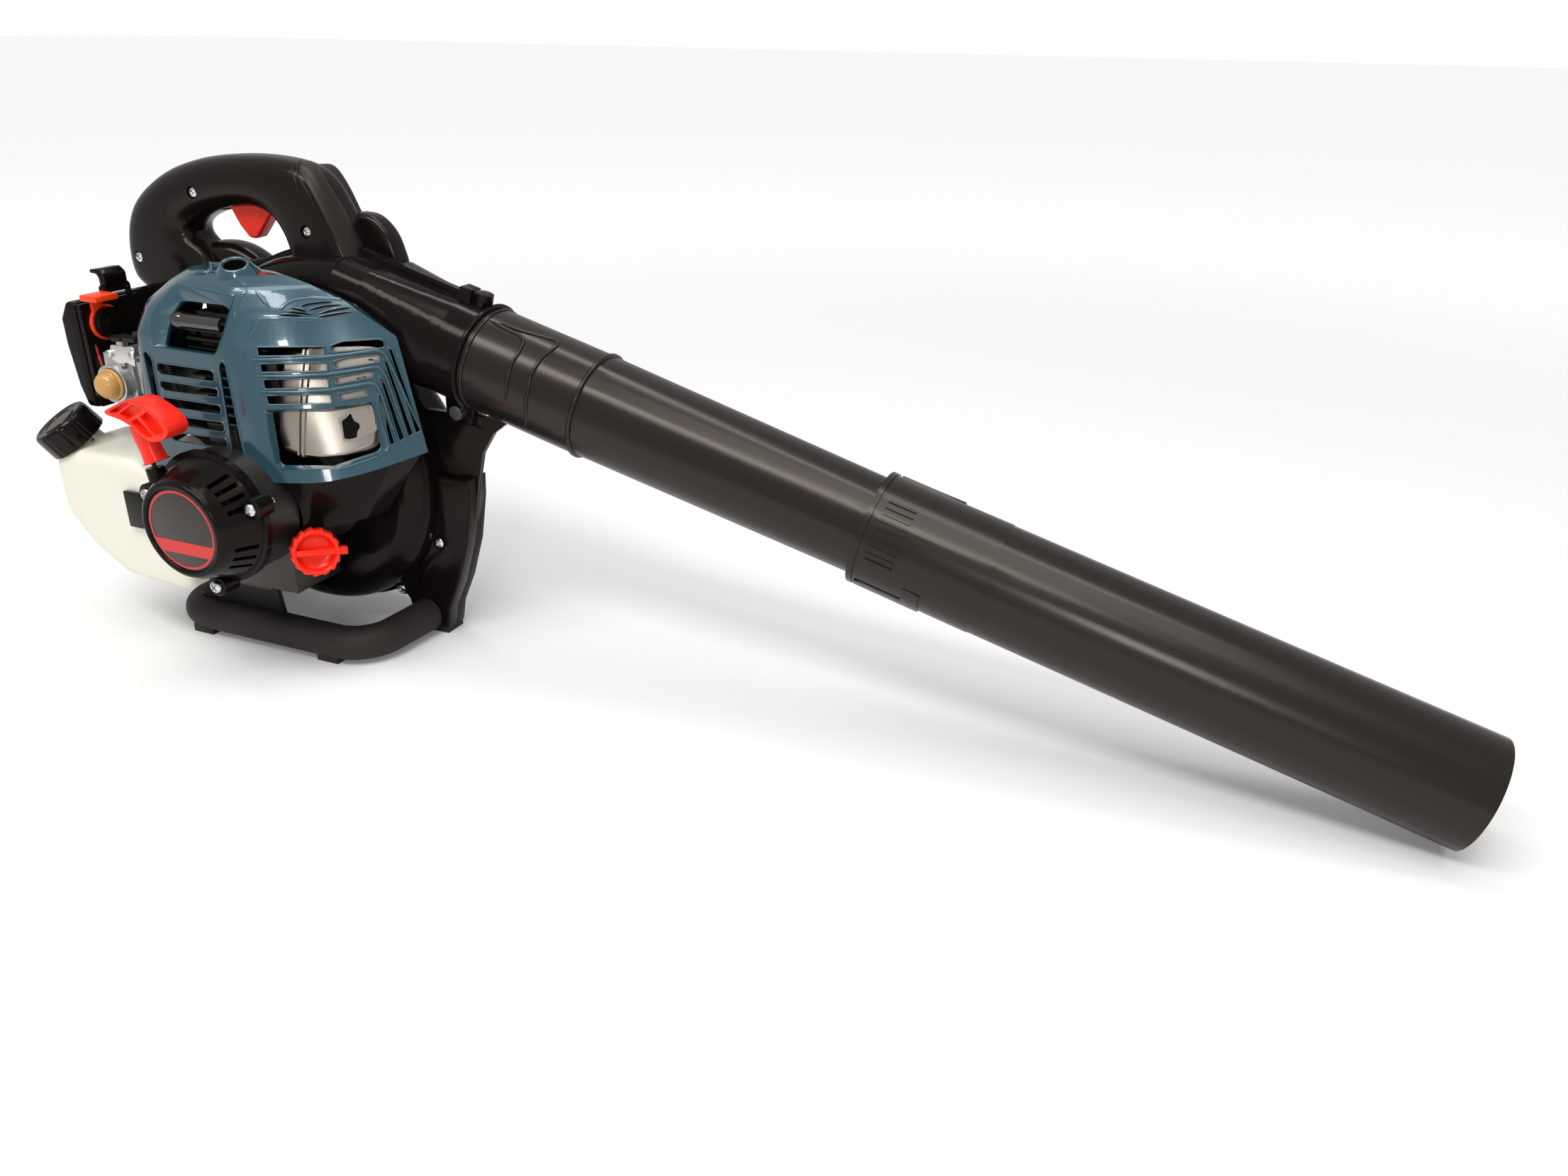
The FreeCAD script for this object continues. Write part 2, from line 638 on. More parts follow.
# Impeller and its nut on the crankshaft
fan_back = "fan_gap - housing_width / 2 + housing_wall"
fan_hub = "%s + fan_disc + fan_width / 2" % fan_back
impeller = turned("impeller", [("shaft_radius", fan_back), ("fan_radius", fan_back),
                               ("fan_radius", fan_back + " + fan_disc"),
                               ("shaft_radius + 14", fan_back + " + fan_disc"), ("shaft_radius + 6",
                                                                                 fan_hub),
                               ("shaft_radius", fan_hub)])
BLADE_THICK = 2.2
BLADE_LEAN = 14.0
blade = impeller.newObject("Sketcher::SketchObject", "blade_outline")
blade_plane = [item for item in impeller.Origin.OriginFeatures if item.Role == "XY_Plane"][0]
blade.AttachmentSupport = [(blade_plane, "")]
blade.MapMode = "FlatFace"
blade.setExpression("AttachmentOffset.Base.z", link(fan_back))
blade_corners = [("fan_eye", 0), ("fan_radius - 1", BLADE_LEAN),
                 ("fan_radius - 1", BLADE_LEAN + BLADE_THICK),
                 ("fan_eye", BLADE_THICK)]
corners = [Vector(worth(a), worth(b), 0) for a, b in blade_corners]
for i, corner in enumerate(corners):
    blade.addGeometry(Part.LineSegment(corner, corners[(i + 1) % 4]), False)
for i in range(4):
    blade.addConstraint(Sketcher.Constraint("Coincident", i, 2, (i + 1) % 4, 1))
for i, (a, b) in enumerate(blade_corners):
    index = blade.addConstraint(Sketcher.Constraint("DistanceX", -1, 1, i, 1, corners[i].x))
    blade.setExpression("Constraints[%d]" % index, link(a))
    blade.addConstraint(Sketcher.Constraint("DistanceY", -1, 1, i, 1, corners[i].y))
blade_pad = impeller.newObject("PartDesign::Pad", "blade_pad")
blade_pad.Profile = blade
blade_pad.setExpression("Length", link("fan_disc + fan_width"))
doc.recompute()
blades = impeller.newObject("PartDesign::PolarPattern", "blades")
blades.Originals = [blade_pad]
blades.Axis = (blade, ["N_Axis"])
blades.Angle = 360
blades.setExpression("Occurrences", link("fan_blades"))
impeller.Tip = blades
node("fan_impeller", impeller)
NUT_ACROSS = 9.5
node("fan_nut", ring("nut", "shaft_radius", NUT_ACROSS, fan_hub, fan_hub + " + 6"))

# Blower tubes
UPPER_START = "mouth_station"
sleeve_radius = "(duct_radius + collar_height / 2)"
upper_profile = [
    ("%s - tube_wall - collar_height / 2" % sleeve_radius, 0),
    (sleeve_radius, 0), (sleeve_radius, "upper_sleeve"), (sleeve_radius + " - upper_step",
                                                          "upper_sleeve + 1"),
    ("upper_tip_radius", "upper_length - joint_overlap - 4"),
    ("upper_tip_radius", "upper_length - joint_overlap + 2"),
    ("upper_tip_radius + joint_swell", "upper_length - joint_overlap + 8"),
    ("upper_tip_radius + joint_swell", "upper_length"),
    ("upper_tip_radius + joint_swell - tube_wall", "upper_length"),
    ("upper_tip_radius + joint_swell - tube_wall", "upper_length - joint_overlap + 8"),
    ("upper_tip_radius - tube_wall", "upper_length - joint_overlap + 2"),
    ("upper_tip_radius - tube_wall", "upper_length - joint_overlap - 4"),
    (sleeve_radius + " - tube_wall - collar_height / 2 - upper_step", "upper_sleeve + 1"),
    (sleeve_radius + " - tube_wall - collar_height / 2", "spigot_length + 1"),
]
upper_tube = turned("upper_tube", upper_profile, tube_place(UPPER_START), TUBE_TURN)
upper_end = S.mouth_station + S.upper_length
lower_start = upper_end - S.joint_overlap
swell_radius = S.upper_tip_radius + S.joint_swell


def tube_arc(inner, outer, low, high, start, sweep):
    """A piece of a ring round the tube axis, its start angle from the top towards +Y."""
    turn = math.radians(start)
    side = OFF_TUBE * math.cos(turn) + Vector(0, math.sin(turn), 0)
    corners = [on_tube(low) + side * inner, on_tube(low) + side * outer, on_tube(high) + side * outer,
               on_tube(high) + side * inner]
    return Part.Face(wire(corners)).revolve(on_tube(0), ALONG_TUBE, -sweep)


# Lugs stand on the upper tube's end, one on each side, and a channel in the sleeve takes each
LUG_STARTS = [230.0, 50.0]
lug_station = upper_end - 32
lugs = feature("bayonet_lugs", Part.makeCompound([
    tube_arc(swell_radius - 0.5, swell_radius + S.lug_height, lug_station, lug_station + S.lug_length,
             start, S.lug_angle)
    for start in LUG_STARTS]))
node("blower_tube_upper", fuse("upper_tube_whole", [upper_tube, lugs]))

sleeve_in = S.upper_tip_radius + S.joint_swell + S.slip_gap
sleeve_out = sleeve_in + S.tube_wall
lower_profile = [
    (sleeve_in, lower_start), (sleeve_out, lower_start), (sleeve_out, lower_start + S.lower_sleeve),
    (S.nozzle_radius + 0.5, lower_start + S.lower_sleeve + 1), (S.nozzle_radius,
                                                                lower_start + S.lower_length - 60),
    (S.nozzle_radius, lower_start + S.lower_length), (S.nozzle_radius - S.tube_wall,
                                                      lower_start + S.lower_length),
    (S.nozzle_radius - S.tube_wall, lower_start + S.joint_overlap + 3), (sleeve_in,
                                                                         lower_start + S.joint_overlap + 1),
]
lower_face = Part.Face(wire([on_tube(station, radius) for radius, station in lower_profile]))
lower_tube = lower_face.revolve(on_tube(0), ALONG_TUBE, 360)
channel_in = sleeve_in + S.lug_height
channel_out = channel_in + S.tube_wall
play = 2 * S.slip_gap
play_angle = 1.0
ramps = []
channels = []
for start in LUG_STARTS:
    sweep = S.lug_angle + S.twist_angle + 2 * play_angle
    low = lug_station - play
    high = lug_station + S.lug_length + play
    begin = start - S.twist_angle - play_angle
    rim = 1.6
    ramps.append(tube_arc(sleeve_in + 0.5, channel_out, low - rim, high + rim, begin - 2.5, sweep + 5))
    ramps.append(tube_arc(sleeve_in + 0.5, channel_out, lower_start + 6, high + rim, begin - 2.5,
                          S.lug_angle + 5 + play_angle))
    channels.append(tube_arc(sleeve_in - 0.5, channel_in, low, high, begin, sweep))
    channels.append(tube_arc(sleeve_in - 0.5, channel_in, lower_start - 1, high, begin,
                             S.lug_angle + 2 * play_angle))
GRIP_RIBS = 10
grip_ribs = [tube_arc(sleeve_out - 0.4, sleeve_out + 1.0, lower_start + 10, lower_start + 30, 262 + 7 * i,
                      2.4)
             for i in range(GRIP_RIBS)]
rim_ring = tube_arc(sleeve_out - 0.4, sleeve_out + 1.2, lower_start, lower_start + 4, 0, 360)
shaped("blower_tube_lower", lower_tube.fuse(ramps + grip_ribs + [rim_ring]).cut(channels))

# Pinch bolt of the clamp, with its knob on the far side
pinch = bar(clamp_hole_at + Vector(0, -12, 0), clamp_hole_at + Vector(0, 22, 0), S.screw_radius)
pinch_head = bar(clamp_hole_at + Vector(0, -9, 0), clamp_hole_at + Vector(0, -13, 0),
                 S.screw_head_radius + 1)
pinch_knob = bar(clamp_hole_at + Vector(0, 9, 0), clamp_hole_at + Vector(0, 20, 0), 9)
shaped("tube_clamp_bolt", pinch.fuse([pinch_head, pinch_knob]))


# Crank train. Stations along the crank are positions along Y.

case_low = "engine_plane - case_length / 2"
case_high = "engine_plane + case_length / 2"
web_in = "rod_width / 2 + pin_stub + web_gap"
SHAFT_NEAR_END = "starter_back + 2"
near_half = turned("crank_near", [
    (0, SHAFT_NEAR_END), ("shaft_radius", SHAFT_NEAR_END), ("shaft_radius",
                                                            "engine_plane - (%s) - web_width" % web_in),
    ("web_radius", "engine_plane - (%s) - web_width" % web_in), ("web_radius",
                                                                 "engine_plane - (%s)" % web_in),
    (0, "engine_plane - (%s)" % web_in)])
far_half = turned("crank_far", [
    (0, "engine_plane + %s" % web_in), ("web_radius", "engine_plane + %s" % web_in),
    ("web_radius", "engine_plane + %s + web_width" % web_in), ("shaft_radius",
                                                               "engine_plane + %s + web_width" % web_in),
    ("shaft_radius", fan_hub + " + 8"), (0, fan_hub + " + 8")])
group("crankshaft", [near_half, far_half])
group("crank_bearings", [
    ring("bearing_near", "shaft_radius + bearing_gap", "bearing_radius", case_low,
         case_low + " + bearing_width"),
    ring("bearing_far", "shaft_radius + bearing_gap", "bearing_radius", case_high + " - bearing_width",
         case_high)])

wheel_face = "flywheel_plane - flywheel_width"
flywheel = turned("flywheel_wheel", [
    ("shaft_radius", "flywheel_plane"), ("flywheel_radius", "flywheel_plane"), ("flywheel_radius",
                                                                                wheel_face),
    ("flywheel_radius - 5", wheel_face), ("flywheel_radius - 5", "flywheel_plane - 6"),
    ("shaft_radius + 7", "flywheel_plane - 6"), ("shaft_radius + 5", wheel_face), ("shaft_radius",
                                                                                   wheel_face)])
FLYWHEEL_FINS = 12
fins = [flywheel]
for i in range(FLYWHEEL_FINS):
    fin = box("flywheel_fin_%d" % i, ("flywheel_radius - 5 - shaft_radius - 6", 2, "flywheel_width - 6"),
              CRANK)
    angle = 360.0 * i / FLYWHEEL_FINS
    turn = Rotation(Vector(0, 1, 0), angle) * TURNS["y"]
    reach = "(shaft_radius + 6)"
    place(fin, ("%s * cos(%f)" % (reach, angle), wheel_face,
                "crank_height - %s * sin(%f)" % (reach, angle)), turn)
    fins.append(fin)
node("flywheel", fuse("flywheel_whole", fins))

# Crankcase with its sump, its mounting flange and the flywheel shroud
deck = "deck_height - crank_height"
COIL_Z = S.crank_height + S.flywheel_radius + S.slip_gap + 2
case_solid = fuse("case_solid", [
    cylinder("case_barrel", "case_radius", "case_length", ("0", case_low, "crank_height"), "y"),
    cone("case_cone", "case_radius", "case_radius + 15", "-housing_width / 2 - (%s)" % case_high,
         ("0", case_high, "crank_height"), "y"),
    box("case_deck", (52, "case_length", deck), ("-26", case_low, "crank_height")),
    box("case_sump", ("2 * sump_half", "case_length", "crank_height - sump_bottom"),
        ("-sump_half", case_low, "sump_bottom")),
    cylinder("shroud_outside", "shroud_radius", "%s - starter_back" % case_low,
             ("0", "starter_back", "crank_height"), "y"),
])
oil_axis = Vector(0.72, -0.62, 0.18).normalize()
oil_turn = Rotation(Vector(0, 0, 1), oil_axis)
oil_root = Vector(S.sump_half + 5, S.engine_plane - 10, 102.0)
chamber_y = "engine_plane - (%s) - web_width - 1.2" % web_in
case_holes = [
    cylinder("shroud_inside", "shroud_radius - housing_wall", "%s - starter_back - 4" % case_low,
             ("0", "starter_back", "crank_height"), "y"),
    cylinder("case_chamber", "case_cavity", "2 * (%s + web_width + 1.2)" % web_in,
             ("0", chamber_y, "crank_height"), "y"),
    cylinder("bearing_bore", "bearing_radius", "case_length + 8", ("0", case_low + " - 4", "crank_height"),
             "y"),
    cylinder("case_bore", "bore_radius + 0.3", deck + " + 1", ("0", "engine_plane", "crank_height")),
    box("sump_inside", ("2 * (sump_half - case_wall)", "case_length - 2 * case_wall",
                        "crank_height - sump_bottom - case_wall"),
        ("case_wall - sump_half", case_low + " + case_wall", "sump_bottom + case_wall")),
    cylinder("cone_inside", "case_radius - 6", "-housing_width / 2 - (%s)" % case_high,
             ("0", case_high, "crank_height"), "y"),
]
coil_window = feature("coil_window", block((-17 - S.slip_gap, S.flywheel_plane - 3 - S.slip_gap,
                                            COIL_Z - S.slip_gap),
                                           (17 + S.slip_gap, S.engine_plane - S.case_length / 2 + 0.1,
                                            COIL_Z + 20)))
oil_hole = feature("oil_hole", bar(oil_root - oil_axis * 12, oil_root + oil_axis * 60,
                                   S.oil_neck_radius - 2))
node("crankcase", cut("case_cut", case_solid, case_holes + [oil_hole, coil_window]))

# Cylinder: barrel, fins, head and the plug's boss
wall_y = "engine_plane - fin_y / 2"
cylinder_parts = [
    cylinder("barrel", "barrel_radius", "head_top - deck_height", ("0", "engine_plane", "deck_height")),
    box("barrel_foot", (52, "fin_y - 8", 5), ("-26", wall_y + " + 4", "deck_height")),
    box("head_block", (44, 40, "head_top - head_height + 4"),
        ("-22", "engine_plane - 20", "head_height - 4")),
    box("exhaust_boss", (24, 42, 50), ("10", "engine_plane - 14", "deck_height + 14")),
    box("inlet_boss", (24, 28, 24), ("-32", "engine_plane - 14", "deck_height + 26")),
    cylinder("plug_boss", 11, 14, ("-26", "engine_plane", "plug_height"), "x"),
]
fin_levels = int((S.head_top - 4 - (S.deck_height + 12)) / S.fin_pitch) + 1
for i in range(fin_levels):
    cylinder_parts.append(box("fin_%d" % i, ("fin_x", "fin_y", "fin_thick"),
                              ("-fin_x / 2", wall_y, "deck_height + 12 + %d * fin_pitch" % i)))
PLUG_THREAD = 5.0
port_height = "deck_height + 38"
node("cylinder", cut("cylinder_cut", fuse("cylinder_solid", cylinder_parts), [
    cylinder("bore", "bore_radius", "head_height - deck_height + 1",
             ("0", "engine_plane", "deck_height - 1")),
    cylinder("chamber", 13, "plug_height + 6 - head_height", ("0", "engine_plane", "head_height")),
    cylinder("plug_hole", PLUG_THREAD, 40, ("-40", "engine_plane", "plug_height"), "x"),
    cylinder("exhaust_port", 8, 40, ("0", "engine_plane", port_height), "x"),
    cylinder("inlet_port", 7, 40, ("-40", "engine_plane", port_height), "x"),
    cylinder("plug_room", 9, 10, ("-36", "engine_plane", "plug_height"), "x"),
    feature("fin_corner", slab(wire(xy([(2, -110), (40, -110), (40, -86)], S.deck_height)),
                               Vector(0, 0, S.head_top - S.deck_height + 1))),
]))
rocker = feature("rocker_form", softened(block((-22, S.engine_plane - 13, S.head_top),
                                               (20, S.engine_plane + 18, S.head_top + S.rocker_height)),
                                         5.0, lambda edge: edge.CenterOfMass.z > S.head_top + 1))
node("rocker_cover", cut("rocker_cut", rocker, [box("rocker_inside", (36, 25, "rocker_height - 3"),
                                                    ("-19", "engine_plane - 10", "head_top"))]))

# Piston, pin and rod, drawn at the top of the stroke
pin_z = "(crank_height + crank_throw + rod_length)"
piston_r = "bore_radius - piston_gap"
piston = turned("piston_cup", [
    (0, pin_z + " + crown_height"),
    (piston_r, pin_z + " + crown_height"),
    (piston_r, pin_z + " + crown_height - piston_height"),
    ("bore_radius - 4", pin_z + " + crown_height - piston_height"),
    ("bore_radius - 4", pin_z + " + crown_height - 6"),
    (0, pin_z + " + crown_height - 6")], ("0", "engine_plane", "0"), "z")
pin_reach = "bore_radius - 1.5"
pin_low = "engine_plane - (%s)" % pin_reach
node("piston", cut("piston_cut", piston, [cylinder("pin_hole", "wrist_radius", "2 * bore_radius + 4",
                                                   ("0", "engine_plane - bore_radius - 2", pin_z), "y")]))
node("wrist_pin", cylinder("wrist", "wrist_radius", "2 * (%s)" % pin_reach, ("0", pin_low, pin_z), "y"))
rod_low = "engine_plane - rod_width / 2"
big_end = "crank_height + crank_throw"
rod_solid = fuse("rod_solid", [
    cylinder("big_eye", "pin_radius + 3.5", "rod_width", ("0", rod_low, big_end), "y"),
    cylinder("small_eye", "wrist_radius + 3.5", "rod_width", ("0", rod_low, pin_z), "y"),
    box("rod_beam", (9, "rod_width - 2", "rod_length"), ("-4.5", rod_low + " + 1", big_end)),
    cylinder("crank_pin", "pin_radius", "rod_width + 2 * pin_stub",
             ("0", rod_low + " - pin_stub", big_end), "y")])
node("connecting_rod", cut("rod_cut", rod_solid, [
    cylinder("small_eye_hole", "wrist_radius + bearing_gap", "rod_width + 2",
             ("0", rod_low + " - 1", pin_z), "y")]))

# Spark plug, its boot, the coil and the lead between them
node("spark_plug", fuse("plug_whole", [
    cylinder("plug_thread", PLUG_THREAD, 16, ("-28", "engine_plane", "plug_height"), "x"),
    cylinder("plug_hexagon", 8, 6, ("-32", "engine_plane", "plug_height"), "x"),
    cylinder("plug_insulator", 3.5, 14, ("-46", "engine_plane", "plug_height"), "x")]))
BOOT_RADIUS = 8.5
boot_parts = [cylinder("boot_sleeve", BOOT_RADIUS, 26, ("-58", "engine_plane", "plug_height"), "x"),
              cylinder("boot_elbow", BOOT_RADIUS - 1, 20, ("-52", "engine_plane - 16", "plug_height"), "y")]
node("spark_plug_boot", cut("boot_cut", fuse("boot_solid", boot_parts), [
    cylinder("boot_hole", 3.5, 14, ("-46", "engine_plane", "plug_height"), "x")]))
coil_z = "crank_height + flywheel_radius + slip_gap + 2"
node("ignition_coil", fuse("coil_whole", [
    box("coil_core", (34, 5, 18), ("-17", "flywheel_plane - 1", coil_z)),
    box("coil_body", (22, 7, 14), ("-11", "flywheel_plane - 2", coil_z + " + 2")),
    box("coil_legs", (34, 7, 3), ("-17", "flywheel_plane - 2", coil_z))]))
lead_start = Vector(-17 - S.slip_gap, S.flywheel_plane + 1, COIL_Z + 10)
lead_end = Vector(-52, S.engine_plane - 16, S.plug_height)
shaped("ignition_lead", tube_along([
    lead_start, lead_start + Vector(-20, 0, 4),
    Vector(-50, S.flywheel_plane + 5, 222), Vector(-56, S.flywheel_plane + 6, 248),
    lead_end + Vector(0, -10, 0), lead_end], 2.6, [10, 14, 9, 5]))

# Muffler, tapered to fit under the cover, its bolts and the deflector over the outlet
MUFFLER_LOW, MUFFLER_HIGH = 172.0, 250.0
MUFFLER_SKIN = 1.5
MUFFLER_FOOT = [(36, -50), (36, -106), (60, -104), (84, -84), (96, -64), (96, -50)]
MUFFLER_HEAD = [(36, -50), (36, -94), (47, -86), (60, -73), (72, -60), (72, -50)]


MUFFLER_BEVEL = 2.0


def muffler_form(inside):
    """The muffler's outside, or moved inwards its inside."""
    loops = []
    for level, points, side, extra in ((MUFFLER_LOW, MUFFLER_FOOT, 1, MUFFLER_BEVEL),
                                       (MUFFLER_LOW + MUFFLER_BEVEL, MUFFLER_FOOT, 1, 0),
                                       (MUFFLER_HIGH - MUFFLER_BEVEL, MUFFLER_HEAD, -1, 0),
                                       (MUFFLER_HIGH, MUFFLER_HEAD, -1, MUFFLER_BEVEL)):
        moved = inset(xy(points), inside + extra) if inside + extra else xy(points)
        rounds = [size - 0.3 * (inside + extra) for size in (2, 4, 4, 6, 4, 2)]
        loops.append(soft_wire([Vector(p.x, p.y, level + side * inside) for p in moved], rounds))
    return Part.makeLoft(loops, True, True)


port_centre = Vector(0, S.engine_plane, S.deck_height + 38)
stub = bar(Vector(34, 0, 0) + port_centre, Vector(38, 0, 0) + port_centre, 12)
stub_hole = bar(Vector(33, 0, 0) + port_centre, Vector(40, 0, 0) + port_centre, 8)
muffler_outside = muffler_form(0.0)
lean_share = (MUFFLER_HEAD[-1][0] - MUFFLER_FOOT[-1][0]) / (MUFFLER_HIGH - MUFFLER_LOW)
MUFFLER_BOLTS = [(-60.0, S.deck_height + 20), (-60.0, S.deck_height + 48)]
BOSS_FACE = 34.0
bolt_faces = [MUFFLER_FOOT[-1][0] + lean_share * (z - MUFFLER_LOW) + 1.5 for y, z in MUFFLER_BOLTS]
bolt_holes = [bar(Vector(30, y, z), Vector(110, y, z), 2.6) for y, z in MUFFLER_BOLTS]
outlet = bar(Vector(60, -80, 192), Vector(60, -80, 192) + Vector(0.64, -0.77, 0) * 34, 5)
shaped("muffler", muffler_outside.fuse(stub).cut([muffler_form(MUFFLER_SKIN), stub_hole,
                                                  outlet] + bolt_holes))
bolts = []
for (y, z), face in zip(MUFFLER_BOLTS, bolt_faces):
    bolts.append(bar(Vector(BOSS_FACE, y, z), Vector(face, y, z),
                     2.5).fuse(bar(Vector(face, y, z), Vector(face + 4, y, z), 4.6)))
shaped("muffler_bolts", Part.makeCompound(bolts))
HOOD_TURN = 39.7
hood = block((-11, -3, 0), (11, 20, 24)).cut(block((-9, -1.6, -1), (9, 21, 22)))
hood.rotate(Vector(), Vector(0, 0, 1), HOOD_TURN)
hood.translate(Vector(72, -96, 180))
hood = hood.cut(muffler_outside)
HOOD_AT = Vector(72, -96, 190)
shaped("muffler_deflector", min(hood.Solids, key=lambda solid: (solid.CenterOfMass - HOOD_AT).Length))

# Carburettor side
CARB_Y = -80.0
CARB_Z = S.deck_height + 38
PRIMER_AT = Vector(-114, CARB_Y - 26, CARB_Z - 3)
primer_recess = S.primer_travel + 2 * S.slip_gap
ARM_LENGTH = 18.0
carb = block((-128, CARB_Y - 17, CARB_Z - 15), (-100, CARB_Y + 15, CARB_Z + 15))
carb = softened(carb, 3.0, lambda edge: edge.BoundBox.XLength > 5)
carb = carb.fuse([block((-132, CARB_Y - 13, CARB_Z - 12), (-96, CARB_Y + 13, CARB_Z + 12)),
                  block((-124, CARB_Y - 20, CARB_Z + 10), (-104, CARB_Y + 12, CARB_Z + 19)),
                  bar(PRIMER_AT, PRIMER_AT + Vector(0, 10, 0), S.primer_radius + 4),
                  bar(Vector(-122, CARB_Y - 4, CARB_Z + 15), Vector(-122, CARB_Y - 4, CARB_Z + 25), 4)])
carb = carb.cut([bar(PRIMER_AT + Vector(0, -1, 0), PRIMER_AT + Vector(0, primer_recess, 0),
                     S.primer_radius + 1.5 + S.slip_gap),
                 bar(Vector(-140, CARB_Y, CARB_Z), Vector(-90, CARB_Y, CARB_Z), 7),
                 bar(Vector(-122, CARB_Y - 4, CARB_Z + 16), Vector(-122, CARB_Y - 4, CARB_Z + 26),
                     2 + S.bearing_gap)])
shaped("carburettor", carb)
lever_axis = Vector(-122, CARB_Y - 4, 0)
lever_z = CARB_Z + 25 + S.slip_gap
lever = bar(lever_axis + Vector(0, 0, CARB_Z + 16), lever_axis + Vector(0, 0, lever_z + 3), 2.0)
lever = lever.fuse([bar(lever_axis + Vector(0, 0, lever_z), lever_axis + Vector(0, 0, lever_z + 3), 7),
                    block((lever_axis.x, lever_axis.y - 4, lever_z),
                          (lever_axis.x + ARM_LENGTH, lever_axis.y + 4, lever_z + 3))])
shaped("throttle_lever", lever)
manifold = block((-96, CARB_Y - 13, CARB_Z - 12), (-90, CARB_Y + 13, CARB_Z + 12))
manifold = manifold.fuse([bar(Vector(-92, CARB_Y, CARB_Z), Vector(-36, CARB_Y, CARB_Z), 11),
                          block((-37, CARB_Y - 14, CARB_Z - 12), (-32, CARB_Y + 14, CARB_Z + 12))])
shaped("intake_manifold", manifold.cut(bar(Vector(-100, CARB_Y, CARB_Z), Vector(-30, CARB_Y, CARB_Z), 7)))

# Primer bulb: a hollow dome on the carburettor's near side
primer_base = PRIMER_AT + Vector(0, -S.slip_gap, 0)
primer_profile = []
for i in range(7):
    turn = math.radians(90 * i / 6)
    primer_profile.append((S.primer_radius * math.cos(turn), S.primer_radius * 0.9 * math.sin(turn)))
inner_profile = [(r * (1 - S.primer_wall / S.primer_radius),
                  h * (1 - S.primer_wall / S.primer_radius)) for r, h in primer_profile]
dome = Part.Face(wire([primer_base + Vector(r, -h, 0) for r, h in primer_profile + inner_profile[::-1]]))
dome = dome.revolve(primer_base, Vector(0, 1, 0), 360)
primer_lip = bar(primer_base, primer_base + Vector(0, -1.5, 0), S.primer_radius + 1.5)
primer_lip = primer_lip.cut(bar(primer_base + Vector(0, 1, 0), primer_base + Vector(0, -3, 0),
                                S.primer_radius - S.primer_wall))
shaped("primer_bulb", dome.fuse(primer_lip))

# Air filter: base plate, foam, cover, choke lever and latch
FILTER_LOW, FILTER_HIGH = -97.0, -15.0
FILTER_PLATE = -148.0
CHOKE_PIVOT = Vector(FILTER_PLATE + 5, CARB_Y + 2, 250)
LATCH_PIVOT = Vector(FILTER_PLATE + 2, -60, 273)
LATCH_EAR = 3.0
FILTER_SIDE = [(FILTER_PLATE, 186), (-157, 186), (-162, 202), (-166, 234), (-166, 254), (-158, 267),
               (FILTER_PLATE, 267)]
plate = softened(block((FILTER_PLATE + S.slip_gap, FILTER_LOW + 1, 187),
                       (FILTER_PLATE + 5, FILTER_HIGH - 1, 266)), 2.0,
                 lambda edge: edge.BoundBox.XLength > 2)
plate = plate.fuse([block((-144, CARB_Y - 13, CARB_Z - 12), (-132, CARB_Y + 13, CARB_Z + 12)),
                    bar(CHOKE_PIVOT - Vector(2, 0, 0), CHOKE_PIVOT + Vector(3.5, 0, 0), 5)])
plate = plate.cut(bar(Vector(-150, CARB_Y, CARB_Z), Vector(-130, CARB_Y, CARB_Z), 7))
plate = plate.fuse([bar(CHOKE_PIVOT + Vector(3.4, 0, 0), CHOKE_PIVOT + Vector(9, 0, 0), 12),
                    bar(CHOKE_PIVOT + Vector(9, 0, 0), CHOKE_PIVOT + Vector(11, 0, 0), 6),
                    bar(LATCH_PIVOT + Vector(0, -11, 0), LATCH_PIVOT + Vector(0, 11, 0), 1.5)])
for ear_low, ear_high in ((-12, -10 - S.slip_gap), (10 + S.slip_gap, 12)):
    plate = plate.fuse([bar(LATCH_PIVOT + Vector(0, ear_low, 0),
                            LATCH_PIVOT + Vector(0, ear_high, 0), LATCH_EAR),
                        block((LATCH_PIVOT.x - 2, LATCH_PIVOT.y + ear_low, 262),
                              (LATCH_PIVOT.x + LATCH_EAR, LATCH_PIVOT.y + ear_high, LATCH_PIVOT.z))])
shaped("air_filter_base", plate)
filter_form = slab(wire(xz(FILTER_SIDE, FILTER_LOW)), Vector(0, FILTER_HIGH - FILTER_LOW, 0))
filter_form = softened(filter_form, 4.0, lambda edge: edge.CenterOfMass.x < FILTER_PLATE - 1)
filter_wall = 2.0
inside_side = [(FILTER_PLATE + 1, 186 + filter_wall), (-156, 186 + filter_wall), (-160, 203),
               (-164, 235), (-164, 253), (-157, 267 - filter_wall), (FILTER_PLATE + 1, 267 - filter_wall)]
cover_inside = slab(wire(xz(inside_side, FILTER_LOW + filter_wall)),
                    Vector(0, FILTER_HIGH - FILTER_LOW - 2 * filter_wall, 0))
cover_inside = softened(cover_inside, 2.0, lambda edge: edge.CenterOfMass.x < FILTER_PLATE - 3)
shaped("air_filter_cover", filter_form.cut(cover_inside))
shaped("air_filter_element", softened(block((-155.5, FILTER_LOW + 8, 196),
                                            (FILTER_PLATE + S.slip_gap, FILTER_HIGH - 8, 258)), 3.0,
                                      lambda edge: edge.BoundBox.XLength > 5))


# Starter: housing, badge, pulley, spring, rope and grip

